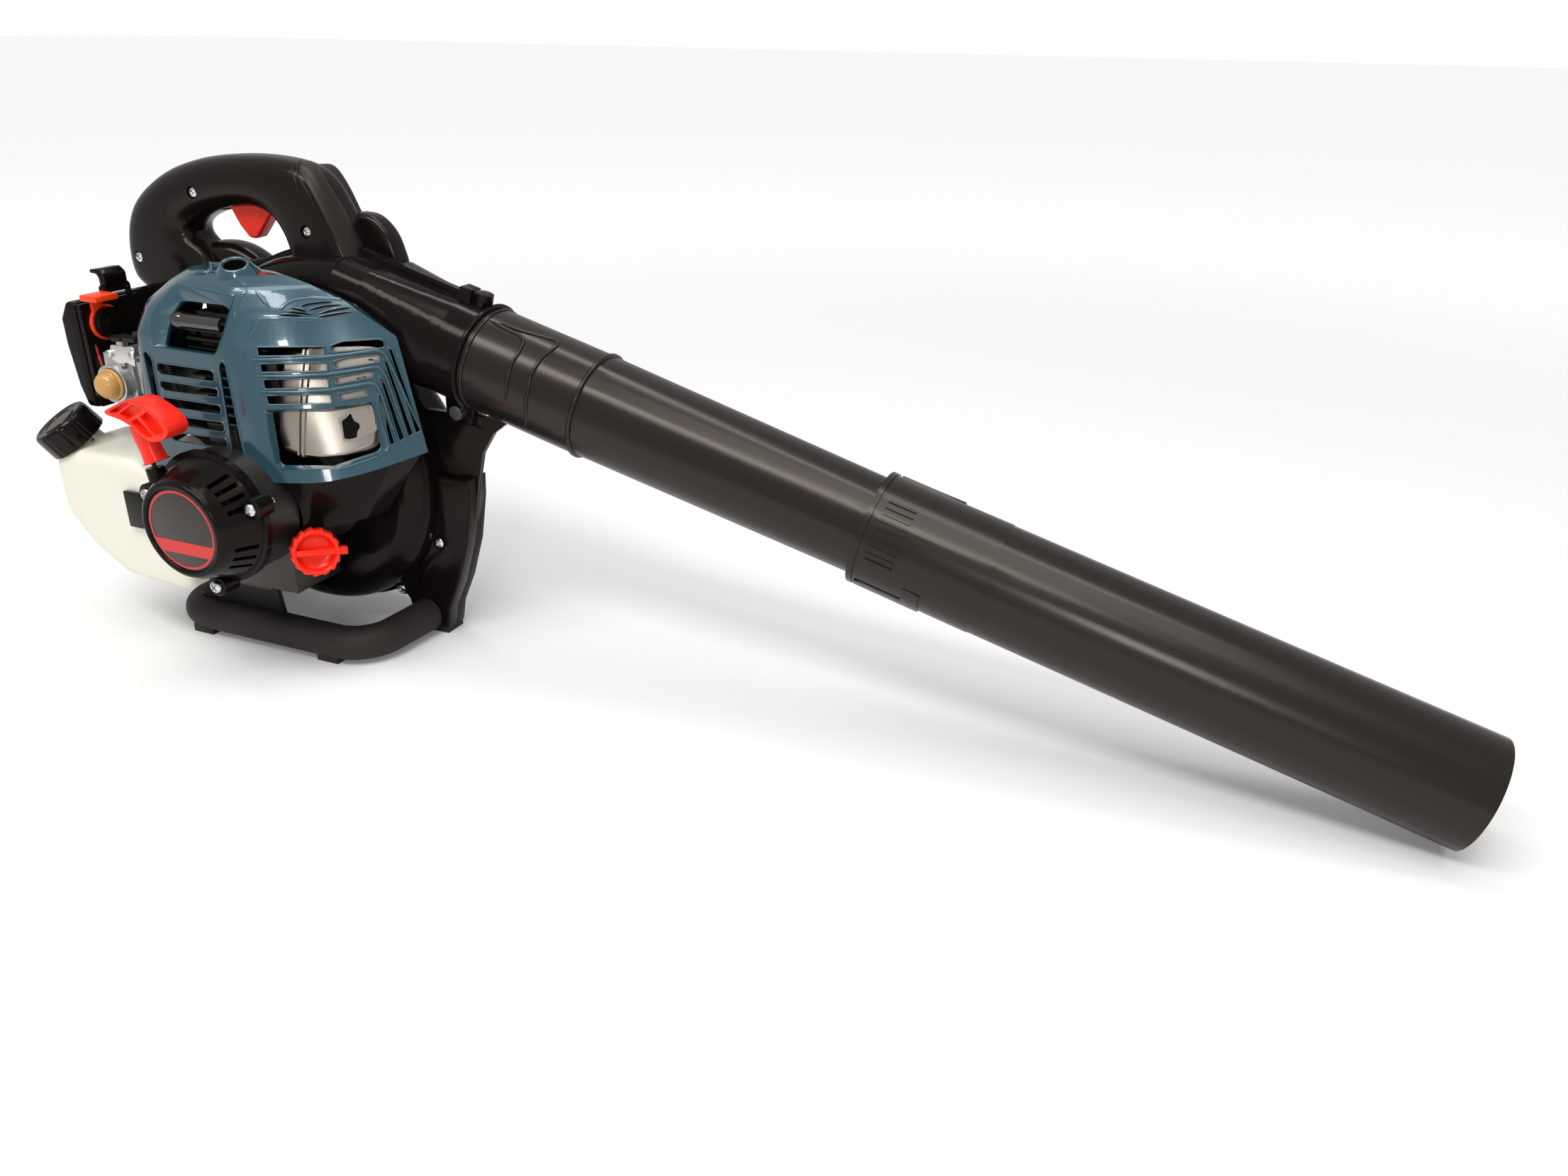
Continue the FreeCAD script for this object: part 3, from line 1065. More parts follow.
starter = turned("starter_shell", [
    (0, "starter_face"), ("badge_radius + 1", "starter_face"), ("badge_radius + 2", "starter_face - 1"),
    ("starter_front_radius - 2", "starter_face - 1"), ("starter_front_radius", "starter_face + 2"),
    ("starter_back_radius", "starter_back - 5"), ("starter_flange", "starter_back - 5"), ("starter_flange",
                                                                                          "starter_back"),
    ("starter_back_radius - 1", "starter_back"), ("starter_back_radius - housing_wall", "starter_back - 5"),
    ("starter_front_radius - housing_wall", "starter_face + housing_wall + 1"),
    ("post_radius + 2", "starter_face + housing_wall + 1"), ("post_radius + 2", "starter_face + 8"),
    ("post_radius", "starter_face + 8"), ("post_radius", "starter_back - 2"), (0, "starter_back - 2")])
STARTER_EARS = [19.0, -88.0, 165.0]
ear_y = (S.starter_back - 14, S.starter_back)
ear_shapes = []
ear_holes = []
for angle in STARTER_EARS:
    low = polar(S.starter_flange + 1, angle, ear_y[0])
    high = polar(S.starter_flange + 1, angle, ear_y[1])
    ear_shapes.append(bar(low, high, 8))
    ear_holes.append(bar(low + Vector(0, -1, 0), high + Vector(0, 1, 0), S.screw_radius))
room = turned_shape([(0, S.starter_face), (S.starter_back_radius - 1.5, S.starter_face),
                     (S.starter_back_radius - 1.5, S.starter_back + 1), (0, S.starter_back + 1)])
starter_ears = feature("starter_ears", ear_shapes[0].fuse(ear_shapes[1:]).cut(room))
slot_shapes = []
for angle in (22.0, 33.0, 44.0, 55.0, -18.0, -30.0, -42.0):
    slot = block((S.starter_front_radius - 6, S.starter_face + 7, S.crank_height - 1.7),
                 (S.starter_back_radius + 4, S.starter_back - 8, S.crank_height + 1.7))
    slot.rotate(AXIS, Vector(0, 1, 0), -angle)
    slot_shapes.append(slot)
pull = Vector(-math.sin(math.radians(S.rope_lean)), 0, math.cos(math.radians(S.rope_lean)))
beside = Vector(-pull.z, 0, pull.x)
rope_foot = AXIS + beside * S.rope_side + Vector(0, S.grip_plane, 0)


def on_rope(reach, side=0.0):
    """A point along the rope from the crank's level."""
    return rope_foot + pull * reach + beside * side


eyelet = feature("rope_eyelet", bar(on_rope(32), on_rope(41), 6.5))
rope_hole = bar(on_rope(20), on_rope(42), S.rope_radius + 1)
slots = feature("starter_slots", slot_shapes[0].fuse(slot_shapes[1:] + [rope_hole] + ear_holes))
node("starter_housing", cut("starter_cut", fuse("starter_solid", [starter, starter_ears, eyelet]), [slots]))
node("starter_badge", ring("badge", 0, "badge_radius", "starter_face - badge_thick", "starter_face"))
pulley_low = S.grip_plane - S.pulley_width / 2
pulley_y = "grip_plane - pulley_width / 2"
pulley_top = "grip_plane + pulley_width / 2"
node("starter_pulley", turned("pulley", [
    ("post_radius + bearing_gap", pulley_y), ("pulley_radius", pulley_y), ("pulley_radius",
                                                                           pulley_y + " + 1.5"),
    ("pulley_radius - 4", pulley_y + " + 2.5"), ("pulley_radius - 4", pulley_top + " - 2.5"),
    ("pulley_radius", pulley_top + " - 1.5"), ("pulley_radius", pulley_top), ("post_radius + bearing_gap",
                                                                              pulley_top)]))
node("recoil_spring", ring("spring", "post_radius + 2 + slip_gap", "pulley_radius - 2",
                           "starter_face + housing_wall + 1 + slip_gap",
                           pulley_y + " - slip_gap"))
grip_start = 42 + S.slip_gap
GRIP_STEM = 33.0
STEM_RADIUS = 8.5
shaped("starter_rope", bar(on_rope(23), on_rope(grip_start + 6), S.rope_radius))
stem = Part.makeCone(STEM_RADIUS, STEM_RADIUS - 0.5, GRIP_STEM, on_rope(grip_start), pull)
GRIP_LEAN = 22.0
paddle_side = Vector(-math.cos(math.radians(GRIP_LEAN)), 0, math.sin(math.radians(GRIP_LEAN)))
paddle_up = Vector(-paddle_side.z, 0, paddle_side.x) * -1
grip_centre = on_rope(grip_start + GRIP_STEM)
paddle_outline = [grip_centre + paddle_side * a + paddle_up * b + Vector(0, -12, 0)
                  for a, b in ((28, 3), (13, 11), (-12, 11), (-28, 3), (-25, -5), (-8, -8), (8, -8),
                               (25, -5))]
paddle = slab(soft_wire(paddle_outline, [3, 6, 6, 3, 3, 3, 3, 3]), Vector(0, 24, 0))
paddle = softened(paddle, 2.5, lambda edge: at_side(edge, S.grip_plane - 12) or at_side(edge,
                                                                                        S.grip_plane + 12))
rope_bore = bar(on_rope(grip_start - 1), on_rope(grip_start + 6), S.rope_radius)
shaped("pull_handle", paddle.fuse(stem).cut(rope_bore))

# Oil filler neck and cap
oil_seat = oil_root + oil_axis * 34
shaped("oil_filler_neck", bar(oil_root - oil_axis * 14, oil_seat, S.oil_neck_radius).cut([
    bar(oil_root - oil_axis * 15, oil_seat + oil_axis, S.oil_neck_radius - 3)]).cut(
        [block((-S.sump_half, -104, S.sump_bottom), (S.sump_half, -56, S.deck_height)),
         bar(Vector(0, -140, S.crank_height), Vector(0, -104, S.crank_height),
             S.shroud_radius + S.slip_gap)]))
OIL_CAP_RIBS = 12
oil_cap = bar(oil_seat + oil_axis * S.slip_gap, oil_seat + oil_axis * 14, S.oil_cap_radius)
oil_cap = softened(oil_cap, 2.0, lambda edge: (edge.CenterOfMass - oil_seat).dot(oil_axis) > 13)
side_a = oil_axis.cross(Vector(0, 0, 1)).normalize()
side_b = oil_axis.cross(side_a).normalize()
ribs = []
for i in range(OIL_CAP_RIBS):
    turn = 2 * math.pi * i / OIL_CAP_RIBS
    out = side_a * math.cos(turn) + side_b * math.sin(turn)
    ribs.append(bar(oil_seat + out * (S.oil_cap_radius - 0.6) + oil_axis * 1.5,
                    oil_seat + out * (S.oil_cap_radius - 0.6) + oil_axis * 12, 2.1))
dipstick = bar(oil_seat - oil_axis * S.dipstick_length, oil_seat + oil_axis * 4, 2.2)
plug = bar(oil_seat - oil_axis * 10, oil_seat + oil_axis * 2, S.oil_neck_radius - 3 - S.slip_gap)
shaped("oil_cap", oil_cap.fuse(ribs + [dipstick, plug]))

# Fuel tank, cap and lines
cap_axis = Vector(-0.35, -0.44, 0.83).normalize()
cap_base = Vector(-163, -105.5, 161)
TANK_NEAR, TANK_FAR = -124.0, -52.0
TANK_SIDE = [(-94, 160), (-168, 160), (-175, 146), (-175, 106), (-153, 79), (-120, 58), (-58, 55),
             (-54, 62), (-54, 104), (-68, 142)]


def tank_form(inside):
    """The tank's outside, or moved inwards its inside."""
    level = [Vector(x, z, 0) for x, z in TANK_SIDE]
    outline = [Vector(p.x, TANK_NEAR + inside, p.y) for p in inset(level, inside)]
    solid = slab(wire(outline), Vector(0, TANK_FAR - TANK_NEAR - 2 * inside, 0))
    return softened(solid, 8.0 - inside, lambda edge: True)


neck_end = cap_base + cap_axis * 2


def cap_room(extra):
    """The space that the cap takes, with some room to spare."""
    return bar(neck_end - cap_axis * extra, neck_end + cap_axis * 40,
               S.cap_radius + 1.5 + S.slip_gap + extra)


tank = tank_form(0.0).cut(cap_room(0.0)).fuse(bar(cap_base - cap_axis * 22, neck_end, S.neck_radius))
tank_holes = [tank_form(S.tank_wall).cut(cap_room(S.tank_wall)),
              bar(cap_base - cap_axis * 30, neck_end + cap_axis, S.neck_radius - S.tank_wall)]
shaped("fuel_tank", tank.cut(tank_holes))
CAP_RIBS = 30
seat = neck_end + cap_axis * S.slip_gap
fuel_cap = bar(seat, seat + cap_axis * S.cap_height, S.cap_radius)
fuel_cap = softened(fuel_cap, 2.0, lambda edge: (edge.CenterOfMass - seat).dot(cap_axis) > S.cap_height - 1)
cap_side = cap_axis.cross(Vector(0, 0, 1)).normalize()
cap_over = cap_axis.cross(cap_side).normalize()
cap_ribs = []
for i in range(CAP_RIBS):
    turn = 2 * math.pi * i / CAP_RIBS
    out = cap_side * math.cos(turn) + cap_over * math.sin(turn)
    cap_ribs.append(bar(seat + out * (S.cap_radius - 0.3) + cap_axis * 1,
                        seat + out * (S.cap_radius - 0.3) + cap_axis * (S.cap_height - 3), 1.1))
cap_plug = bar(seat - cap_axis * 12, seat + cap_axis * 2, S.neck_radius - S.tank_wall - S.slip_gap)
cap_plug = cap_plug.cut(bar(seat - cap_axis * 13, seat + cap_axis * 1, S.neck_radius - S.tank_wall - 3))
shaped("fuel_cap", fuel_cap.fuse(cap_ribs + [cap_plug]))
LINE_RADIUS = 2.2
fuel_line = tube_along([Vector(-104, -70, 160), Vector(-104, -70, 178), Vector(-110, -74, 190),
                        Vector(-110, -74, CARB_Z - 15)],
                       LINE_RADIUS, [10, 10])
return_line = tube_along([Vector(-122, -66, 160), Vector(-122, -66, 178), Vector(-120, -72, 190),
                          Vector(-120, -72, CARB_Z - 15)],
                         LINE_RADIUS, [10, 10])
shaped("fuel_lines", Part.makeCompound([fuel_line, return_line]))
bracket_low = TANK_NEAR - S.slip_gap - 4
bracket = block((-100, bracket_low, 106), (-44, TANK_NEAR - S.slip_gap, 135))
shaped("tank_bracket", bracket.cut(bar(Vector(0, -200, S.crank_height), Vector(0, 0, S.crank_height),
                                       S.shroud_radius + S.slip_gap)))

# Stand: a bent tube from leg to leg, a bracket up to the crankcase and the rubber feet
LEG_X_REAR, LEG_X_FRONT = -106.0, 80.0
stand_z = S.stand_height
stand_end = -S.leg_near - S.slip_gap
stand_route = [Vector(LEG_X_REAR, stand_end, stand_z), Vector(LEG_X_REAR - 2, S.stand_reach, stand_z),
               Vector(LEG_X_FRONT - 6, S.stand_reach, stand_z), Vector(LEG_X_FRONT, stand_end, stand_z)]
stand = tube_along(stand_route, S.stand_radius, [24.0, 30.0]).cut(block((-REACH, stand_end, 0),
                                                                        (REACH, 0, 60)))
shaped("stand_tube", stand)
STAND_PLATE = 4.0
plate_low = stand_z + S.stand_radius - 1
plate_outline = [Vector(-95, S.stand_reach + 2, plate_low), Vector(-8, S.stand_reach + 2, plate_low),
                 Vector(6, -98, S.sump_bottom), Vector(-34, -98, S.sump_bottom)]
plate_face = Part.Face(wire(plate_outline))
bracket_plate = plate_face.extrude(Vector(0, STAND_PLATE, 0)).fuse(
    block((-S.sump_half, -102, S.sump_bottom - 3), (6, -70, S.sump_bottom)))
shaped("stand_bracket", bracket_plate.cut(stand))
FOOT_X = (-88.0, 40.0)
FOOT_TOP = stand_z - S.stand_radius + 4
foot_pads = [block((x - 10, S.stand_reach - 8, 0), (x + 10, S.stand_reach + 8, FOOT_TOP)).cut(stand)
             for x in FOOT_X]
leg_pads = [block((67, -S.leg_near + 2, 0), (96, S.leg_far - 2, S.foot_height)),
            block((-120, -S.leg_near + 2, 0), (-91, S.leg_far - 2, S.foot_height))]
shaped("stand_feet", Part.makeCompound(foot_pads + leg_pads))


# Engine cover: a shell lofted through level sections, with slots and windows

NEAR, BACK, REAR, FRONT = S.cover_near, S.cover_back, S.cover_rear, S.cover_front
COVER_SECTIONS = [
    (S.cover_bottom - 8, [(REAR, BACK), (REAR, NEAR + 16), (REAR + 18, NEAR), (10, NEAR),
                          (45, NEAR + 3), (79, NEAR + 12), (101, NEAR + 33),
                          (FRONT - 9, NEAR + 57), (FRONT + 1, BACK)]),
    (S.cover_crease, [(REAR + 8, BACK), (REAR + 8, NEAR + 22), (REAR + 24, NEAR + 6), (9, NEAR + 6),
                      (25, NEAR + 16), (47, NEAR + 29), (66, NEAR + 47),
                      (FRONT - 38, NEAR + 62), (FRONT - 20, BACK)]),
    (S.cover_top - 23, [(REAR + 22, BACK), (REAR + 22, NEAR + 28), (REAR + 38, NEAR + 12),
                        (12, NEAR + 12), (31, NEAR + 22), (47, NEAR + 34), (62, NEAR + 50),
                        (FRONT - 45, NEAR + 64), (FRONT - 31, BACK)]),
    (S.cover_top - 7, [(REAR + 48, BACK), (REAR + 48, NEAR + 36), (REAR + 62, NEAR + 22),
                       (14, NEAR + 22), (29, NEAR + 30), (42, NEAR + 42), (54, NEAR + 56),
                       (FRONT - 61, NEAR + 66), (FRONT - 57, BACK)]),
    (S.cover_top, [(REAR + 58, BACK), (REAR + 58, NEAR + 42), (REAR + 68, NEAR + 32),
                   (12, NEAR + 32), (22, NEAR + 38), (32, NEAR + 46), (42, NEAR + 58),
                   (FRONT - 75, NEAR + 67), (FRONT - 71, BACK)]),
]
ROOF_POINT = Vector(-23, BACK, S.cover_top - 6.6)
ROOF_NORMAL = Vector(0.195, 0.455, 1).normalize()
COVER_ROUNDS = [0.6, 12, 12, 10, 14, 14, 14, 14, 0.6]


def cover_form(inside):
    """The cover's outside, or moved inwards its inside, open to the back and below."""
    loops = []
    for level, points in COVER_SECTIONS:
        moved = inset(xy(points), inside) if inside else xy(points)
        if inside:
            moved[0].y = BACK + 10
            moved[-1].y = BACK + 10
        height = level
        if inside and level < S.cover_bottom:
            height = level - 6
        elif level > S.cover_crease + 1:
            height = level - inside
        rounds = [max(size - inside * 0.6, 0.5) for size in COVER_ROUNDS]
        loops.append(soft_wire([Vector(p.x, p.y, height) for p in moved], rounds))
    form = Part.makeLoft(loops, True, True)
    above = Part.makeBox(2 * REACH, 2 * REACH, REACH, Vector(-REACH, -REACH, 0))
    above.Placement = Placement(ROOF_POINT - ROOF_NORMAL * inside, Rotation(Vector(0, 0, 1), ROOF_NORMAL))
    return form.cut(above)


def wall_slot(start, end, low, high, depth=11.0):
    """A slot through a wall that runs in plan from start to end."""
    a = Vector(start[0], start[1], low)
    b = Vector(end[0], end[1], low)
    across = Vector(b - a).cross(Vector(0, 0, 1)).normalize() * depth
    return slab(wire([a + across, b + across, b - across, a - across]), Vector(0, 0, high - low))


def side_window(points, depth=(-130.0, -92.0)):
    """A window through the near wall from its corners seen from the side."""
    return slab(wire(xz(points, depth[0])), Vector(0, depth[1] - depth[0], 0))


rim_rise = 20 * S.cover_slope / (BACK - NEAR)
rim_wedge = slab(wire([Vector(-200, NEAR - 20, S.cover_bottom - rim_rise),
                       Vector(-200, BACK + 20, S.cover_bottom + S.cover_slope + rim_rise),
                       Vector(-200, BACK + 20, 0), Vector(-200, NEAR - 20, 0)]), Vector(400, 0, 0))
TOP_BOSS = Vector(2, -80, S.cover_top - 4)
top_boss = Part.makeCone(13, 10, 8, TOP_BOSS)
top_boss_hole = bar(TOP_BOSS - Vector(0, 0, 4), TOP_BOSS + Vector(0, 0, 9), 6.5)
windows = [side_window([(-47, 252), (-20, 285), (28, 287), (16, 262), (5, 251)]),
           side_window([(-61, 247), (-56, 243), (-50, 196), (-52, 188), (-57, 196)]),
           side_window([(10, 244), (14, 247), (18, 238), (25, 174), (20, 177), (11, 232)])]
slot_top = S.cover_crease - 16
for i in range(5):
    level = slot_top - i * S.slot_pitch
    lean = 1.4 * i
    windows.append(side_window([(-47 + lean, level), (4 + lean * 0.6, level - 1),
                                (4 + lean * 0.6, level - S.slot_height - 1),
                                (-46 + lean, level - S.slot_height)]))
ROW_HEIGHT = 6.4
ROW_PITCH = 10.6
row_top = S.cover_crease - 6
for i in range(4):
    level = row_top - i * ROW_PITCH
    spread = 1.6 * i
    windows.append(wall_slot((27 + spread, NEAR + 14), (49 + spread, NEAR + 27), level - ROW_HEIGHT, level))
    windows.append(wall_slot((53 + spread, NEAR + 30), (66 + spread, NEAR + 45), level - ROW_HEIGHT, level))
WINDOW_TOP = row_top - 4 * ROW_PITCH - 1
windows.append(wall_slot((36, NEAR + 9), (68, NEAR + 22), S.cover_bottom + 14, WINDOW_TOP))
windows.append(wall_slot((66, NEAR + 22), (84, NEAR + 36), S.cover_bottom + 17, WINDOW_TOP))
for i in range(4):
    windows.append(wall_slot((83 + 5.6 * i, NEAR + 45 + 6.4 * i), (86 + 5.6 * i, NEAR + 49 + 6.4 * i),
                             S.cover_bottom + 22 + i,
                             row_top - ROW_PITCH * (3 - i) - 3))
for i in range(2):
    windows.append(side_window([(36 + 4 * i, 281 - 8 * i), (58 + 4 * i, 281 - 8 * i),
                                (58 + 4 * i, 279 - 8 * i), (36 + 4 * i, 279 - 8 * i)],
                               (-104.0, -60.0)))
inlet_window = block((REAR - 5, -100, 196), (REAR + 20, -60, 236))
shroud_room = bar(Vector(0, -200, S.crank_height), Vector(0, -100, S.crank_height), S.shroud_radius + 1)
cover = cover_form(0.0).fuse(top_boss).cut([cover_form(S.cover_skin), rim_wedge, top_boss_hole,
                                            inlet_window, shroud_room])
for window in windows:
    cover = cover.cut(window)
shaped("engine_cover", cover)

# Engine skirt under the cover, round the crankcase
SKIRT_WALL = 2.5
play_in = S.cover_skin + S.slip_gap
SKIRT_TOP = 175.0
skirt_share = (SKIRT_TOP - COVER_SECTIONS[0][0]) / (COVER_SECTIONS[1][0] - COVER_SECTIONS[0][0])
skirt_front = [(a[0] + (b[0] - a[0]) * skirt_share, a[1] + (b[1] - a[1]) * skirt_share)
               for a, b in zip(COVER_SECTIONS[0][1][3:], COVER_SECTIONS[1][1][3:])]
skirt_near = skirt_front[0][1]
SKIRT_SECTIONS = [
    (SKIRT_TOP, [(-50, BACK), (-50, skirt_near + 10), (-42, skirt_near)] + skirt_front),
    (118.0, [(-50, BACK), (-50, NEAR + 18), (-44, NEAR + 8), (9, NEAR + 8), (30, NEAR + 12),
             (52, NEAR + 22), (66, NEAR + 38), (74, NEAR + 56), (78, BACK)]),
]


def skirt_form(inside):
    """The skirt's outside, or its inside."""
    loops = []
    for level, points in SKIRT_SECTIONS:
        moved = inset(xy(points), inside) if inside else xy(points)
        height = level + (1 if level > 150 else SKIRT_WALL) * (inside > 0)
        loops.append(soft_wire([Vector(p.x, p.y, height) for p in moved],
                               [1.0, 5, 5, 8, 12, 12, 12, 12, 1.0]))
    return Part.makeLoft(loops, True, True)


case_room = block((-S.sump_half - S.slip_gap, S.engine_plane - S.case_length / 2 - S.slip_gap, 60),
                  (S.sump_half + S.slip_gap, 0, 150))
case_room = case_room.fuse([bar(Vector(0, -108, S.crank_height), Vector(0, -50, S.crank_height),
                                S.case_radius + S.slip_gap),
                            Part.makeCone(S.case_radius + S.slip_gap, S.case_radius + 16, 18,
                                          Vector(0, -56, S.crank_height), Vector(0, 1, 0))])
rim_wedge.translate(Vector(0, 0, -S.slip_gap))
shaped("engine_skirt", skirt_form(0.0).common(rim_wedge).cut([skirt_form(SKIRT_WALL), case_room,
                                                              shroud_room.fuse(
    bar(Vector(0, -140, S.crank_height), Vector(0, -104, S.crank_height), S.shroud_radius + S.slip_gap))]))

# Top handle: two hollow shells that bridge over the scroll
HANDLE_SIDE = [(58, 240), (56, 282), (37, 325), (17, 366), (-30, 371), (-98, 366), (-154, 338),
               (-178, 310), (-178, 269), (-122, 269), (-122, 225), (-86, 225), (-92, 288),
               (-113, 303), (-106, 313), (-80, 326), (-50, 334), (-22, 327), (-7, 298), (0, 240)]
HANDLE_ROUNDS = [12, 14, 30, 12, 90, 90, 30, 26, 12, 6, 12, 12, 11, 6, 8, 30, 14, 10, 14, 12]


def handle_form(inside):
    """The handle's outside, or moved inwards its inside."""
    level = [Vector(x, z, 0) for x, z in HANDLE_SIDE]
    moved = inset(level, inside) if inside else level
    rounds = []
    for i, size in enumerate(HANDLE_ROUNDS):
        before = Vector(level[i] - level[i - 1])
        after = Vector(level[(i + 1) % len(level)] - level[i])
        convex = before.cross(after).z > 0
        rounds.append(size - inside if convex else size + inside)
    half = S.handle_half - inside
    outline = soft_wire([Vector(p.x, -half, p.y) for p in moved], rounds)
    solid = slab(outline, Vector(0, 2 * half, 0))
    return softened(solid, S.handle_round - inside,
                    lambda edge: (at_side(edge, -half) or at_side(edge, half))
                    and edge.BoundBox.ZMax > 262)


handle_outside = handle_form(0.0)
handle_inside = handle_form(S.handle_wall)
TRIGGER_PIN = Vector(-34, 0, 342)
HANDLE_SCREWS = [(-93, 342), (13, 320), (-162, 288)]
handle_posts = [bar(Vector(x, -S.handle_half + 1, z), Vector(x, S.handle_half - 1, z),
                    S.screw_head_radius + 2)
                for x, z in HANDLE_SCREWS]
pin_posts = [bar(TRIGGER_PIN + Vector(0, side * (S.trigger_half + S.grip_gap), 0),
                 TRIGGER_PIN + Vector(0, side * (S.handle_half - 2), 0),
                 S.trigger_pin_radius + 3) for side in (-1, 1)]
handle_holes = [bar(Vector(x, -40, z), Vector(x, S.handle_half - 6, z), S.screw_radius)
                for x, z in HANDLE_SCREWS]
handle_sinks = [bar(Vector(x, -40, z), Vector(x, -S.handle_half + 4, z), S.screw_head_radius + 0.6)
                for x, z in HANDLE_SCREWS]
TRIGGER_SIDE = [(-74, 343), (-71, 331), (-64, 318), (-56, 309), (-49, 309), (-41, 318), (-30, 330),
                (-28, 344), (-36, 348)]
trigger_slot = block((-78, -S.trigger_half - S.grip_gap, 318), (-24, S.trigger_half + S.grip_gap, 346))
pin_hole = bar(TRIGGER_PIN + Vector(0, -S.handle_half + 3, 0),
               TRIGGER_PIN + Vector(0, S.handle_half - 3, 0), S.trigger_pin_radius)
SWITCH = Vector(-2.5, 26, 359)
switch_slot = block((SWITCH.x - 5, SWITCH.y - 4.2, SWITCH.z - 4),
                    (SWITCH.x + 5, SWITCH.y + 4.2, SWITCH.z + 6))
CABLE_EXIT = Vector(-132, -8, 270)
cable_exit = bar(CABLE_EXIT - Vector(0, 0, 8), CABLE_EXIT + Vector(0, 0, 6), S.cable_radius + S.slip_gap)
volute_room = housing_skin.fuse([bar(p + Vector(0, -14, 0), p + Vector(0, 14, 0),
                                     S.screw_head_radius + 1) for p in seam_screw_places])
shells = handle_outside.cut(handle_inside).fuse(
    [post.common(handle_outside) for post in handle_posts] + pin_posts)
shells = shells.cut([trigger_slot, switch_slot, pin_hole, cable_exit, volute_room]
                    + handle_holes + handle_sinks)
STRIP_SIDE = [(-8, 361), (-4, 335), (12, 300), (20, 262), (52, 262), (45, 285), (29, 317), (14, 348),
              (3, 361)]
LOBE_SIDE = [(26, 330), (40, 280), (60, 270), (67, 295), (57, 320), (48, 329)]
strip = softened(slab(wire(xz(STRIP_SIDE, S.handle_half - 6)), Vector(0, 19, 0)), 3.0,
                 lambda edge: at_side(edge, S.handle_half + 13))
lobe = softened(slab(wire(xz(LOBE_SIDE, S.handle_half - 6)), Vector(0, 15, 0)), 3.0,
                lambda edge: at_side(edge, S.handle_half + 9))
near_shell = shells.common(near_space)
far_shell = shells.common(far_space).fuse(
    [piece.cut([handle_inside, volute_room, switch_slot]) for piece in (strip, lobe)])
shaped("handle_right_shell", near_shell)
shaped("handle_left_shell", far_shell)
handle_screw_parts = []
for x, z in HANDLE_SCREWS:
    shank = bar(Vector(x, -S.handle_half + 2, z), Vector(x, S.handle_half - 8, z), S.screw_radius)
    handle_screw_parts.append(shank.fuse(bar(Vector(x, -S.handle_half + 1, z),
                                             Vector(x, -S.handle_half + 4, z), S.screw_head_radius)))
shaped("handle_screws", Part.makeCompound(handle_screw_parts))

# Trigger, its pin and spring, the stop switch and the throttle cable
trigger_radii = [3, 6, 14, 6, 6, 8, 8, 5, 4]
trigger = slab(soft_wire(xz(TRIGGER_SIDE, -S.trigger_half), trigger_radii),
               Vector(0, 2 * S.trigger_half, 0))
trigger = softened(trigger, 2.0, lambda edge: at_side(edge, -S.trigger_half)
                   or at_side(edge, S.trigger_half))
trigger = trigger.cut(bar(TRIGGER_PIN + Vector(0, -10, 0), TRIGGER_PIN + Vector(0, 10, 0),
                          S.trigger_pin_radius + S.bearing_gap))
shaped("throttle_trigger", trigger)
shaped("trigger_pin", bar(TRIGGER_PIN + Vector(0, -S.handle_half + 3, 0),
                          TRIGGER_PIN + Vector(0, S.handle_half - 3, 0), S.trigger_pin_radius))
coil = bar(TRIGGER_PIN + Vector(0, S.trigger_half + S.grip_gap + 0.3, 0),
           TRIGGER_PIN + Vector(0, S.trigger_half + S.grip_gap + 5, 0), S.trigger_pin_radius + 5)
coil = coil.cut(bar(TRIGGER_PIN, TRIGGER_PIN + Vector(0, 20, 0), S.trigger_pin_radius + 3.2))
shaped("trigger_spring", coil)
switch = softened(block((SWITCH.x - 4.2, SWITCH.y - 3.5, SWITCH.z - 3),
                        (SWITCH.x + 4.2, SWITCH.y + 3.5, SWITCH.z + 4.5)), 1.0,
                  lambda edge: edge.CenterOfMass.z > SWITCH.z + 4)
shaped("stop_switch", switch)
cable_end = lever_axis + Vector(ARM_LENGTH - 2, -1, lever_z + 3 + S.slip_gap + S.cable_radius)
shaped("throttle_cable", tube_along([
    Vector(-76, 0, 352), Vector(-105, 0, 352), Vector(-138, -4, 330),
    CABLE_EXIT + Vector(0, 0, 20), CABLE_EXIT - Vector(0, 0, 14),
    Vector(-119, -45, 249), cable_end + Vector(0, 14, 0), cable_end],
    S.cable_radius, [26, 24, 16, 8, 16, 6]))

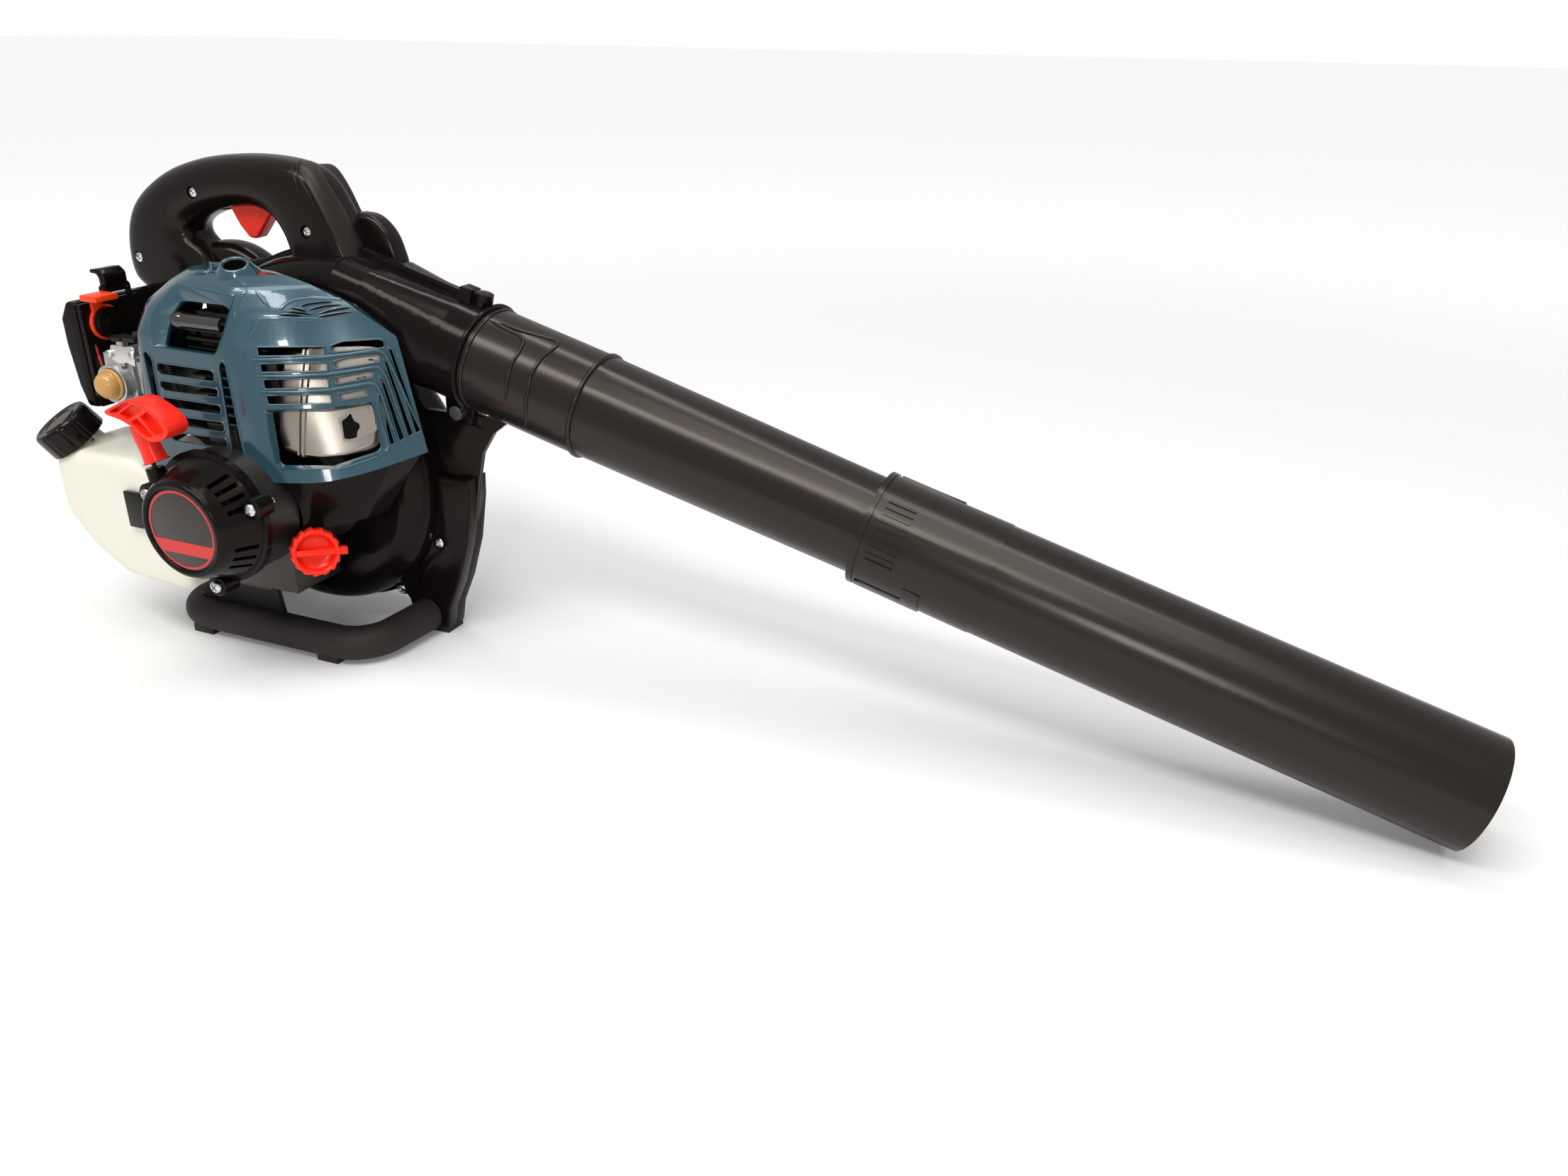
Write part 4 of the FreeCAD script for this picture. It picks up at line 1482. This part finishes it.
# Choke lever, filter latch
CHOKE_DISC = 13.5
choke = bar(CHOKE_PIVOT + Vector(S.slip_gap, 0, 0), CHOKE_PIVOT + Vector(3, 0, 0), CHOKE_DISC)
choke = choke.fuse([block((CHOKE_PIVOT.x + S.slip_gap, CHOKE_PIVOT.y - 10, CHOKE_PIVOT.z),
                          (CHOKE_PIVOT.x + 3, CHOKE_PIVOT.y, CHOKE_PIVOT.z + 20)),
                    block((CHOKE_PIVOT.x + S.slip_gap, CHOKE_PIVOT.y - 17, CHOKE_PIVOT.z + 18.5),
                          (CHOKE_PIVOT.x + 17, CHOKE_PIVOT.y + 3, CHOKE_PIVOT.z + 23))])
shaped("choke_lever", choke.cut(bar(CHOKE_PIVOT, CHOKE_PIVOT + Vector(4, 0, 0), 5 + S.slip_gap)))
latch = slab(soft_wire(xz([(-143, 270), (-143, 284), (-148, 288), (-157, 287), (-157, 284.5), (-151, 284),
                           (-149, 281), (-149, 270)], LATCH_PIVOT.y - 10),
                       [1.5, 3, 4, 1, 1, 0.8, 0.8, 1.5]), Vector(0, 20, 0))
shaped("filter_latch", latch.cut(bar(LATCH_PIVOT + Vector(0, -11, 0), LATCH_PIVOT + Vector(0, 11, 0),
                                     1.5 + S.bearing_gap)))

# The screws that hold the housings together
for angle in STARTER_EARS:
    head_end = polar(S.starter_flange + 1, angle, ear_y[0])
    housing_screw_solids.append(bar(head_end, polar(S.starter_flange + 1, angle, S.starter_back + 6),
                                    S.screw_radius).fuse(
        bar(head_end, head_end - Vector(0, S.screw_head_height, 0), S.screw_head_radius)))
shaped("housing_screws", Part.makeCompound(housing_screw_solids))

doc.recompute()
for item in doc.Objects:
    if "Invalid" in item.State or "Error" in item.State:
        raise RuntimeError("%s (%s) is %s" % (item.Name, item.Label, item.State))
for name, item in NODES.items():
    if item.Shape.isNull() or not item.Shape.isValid() or not item.Shape.Solids:
        raise RuntimeError("%s has no sound solid" % name)
os.makedirs("parts", exist_ok=True)
for name, item in NODES.items():
    item.Shape.exportStep("parts/%s.step" % name)
print("%d sub-parts" % len(NODES))
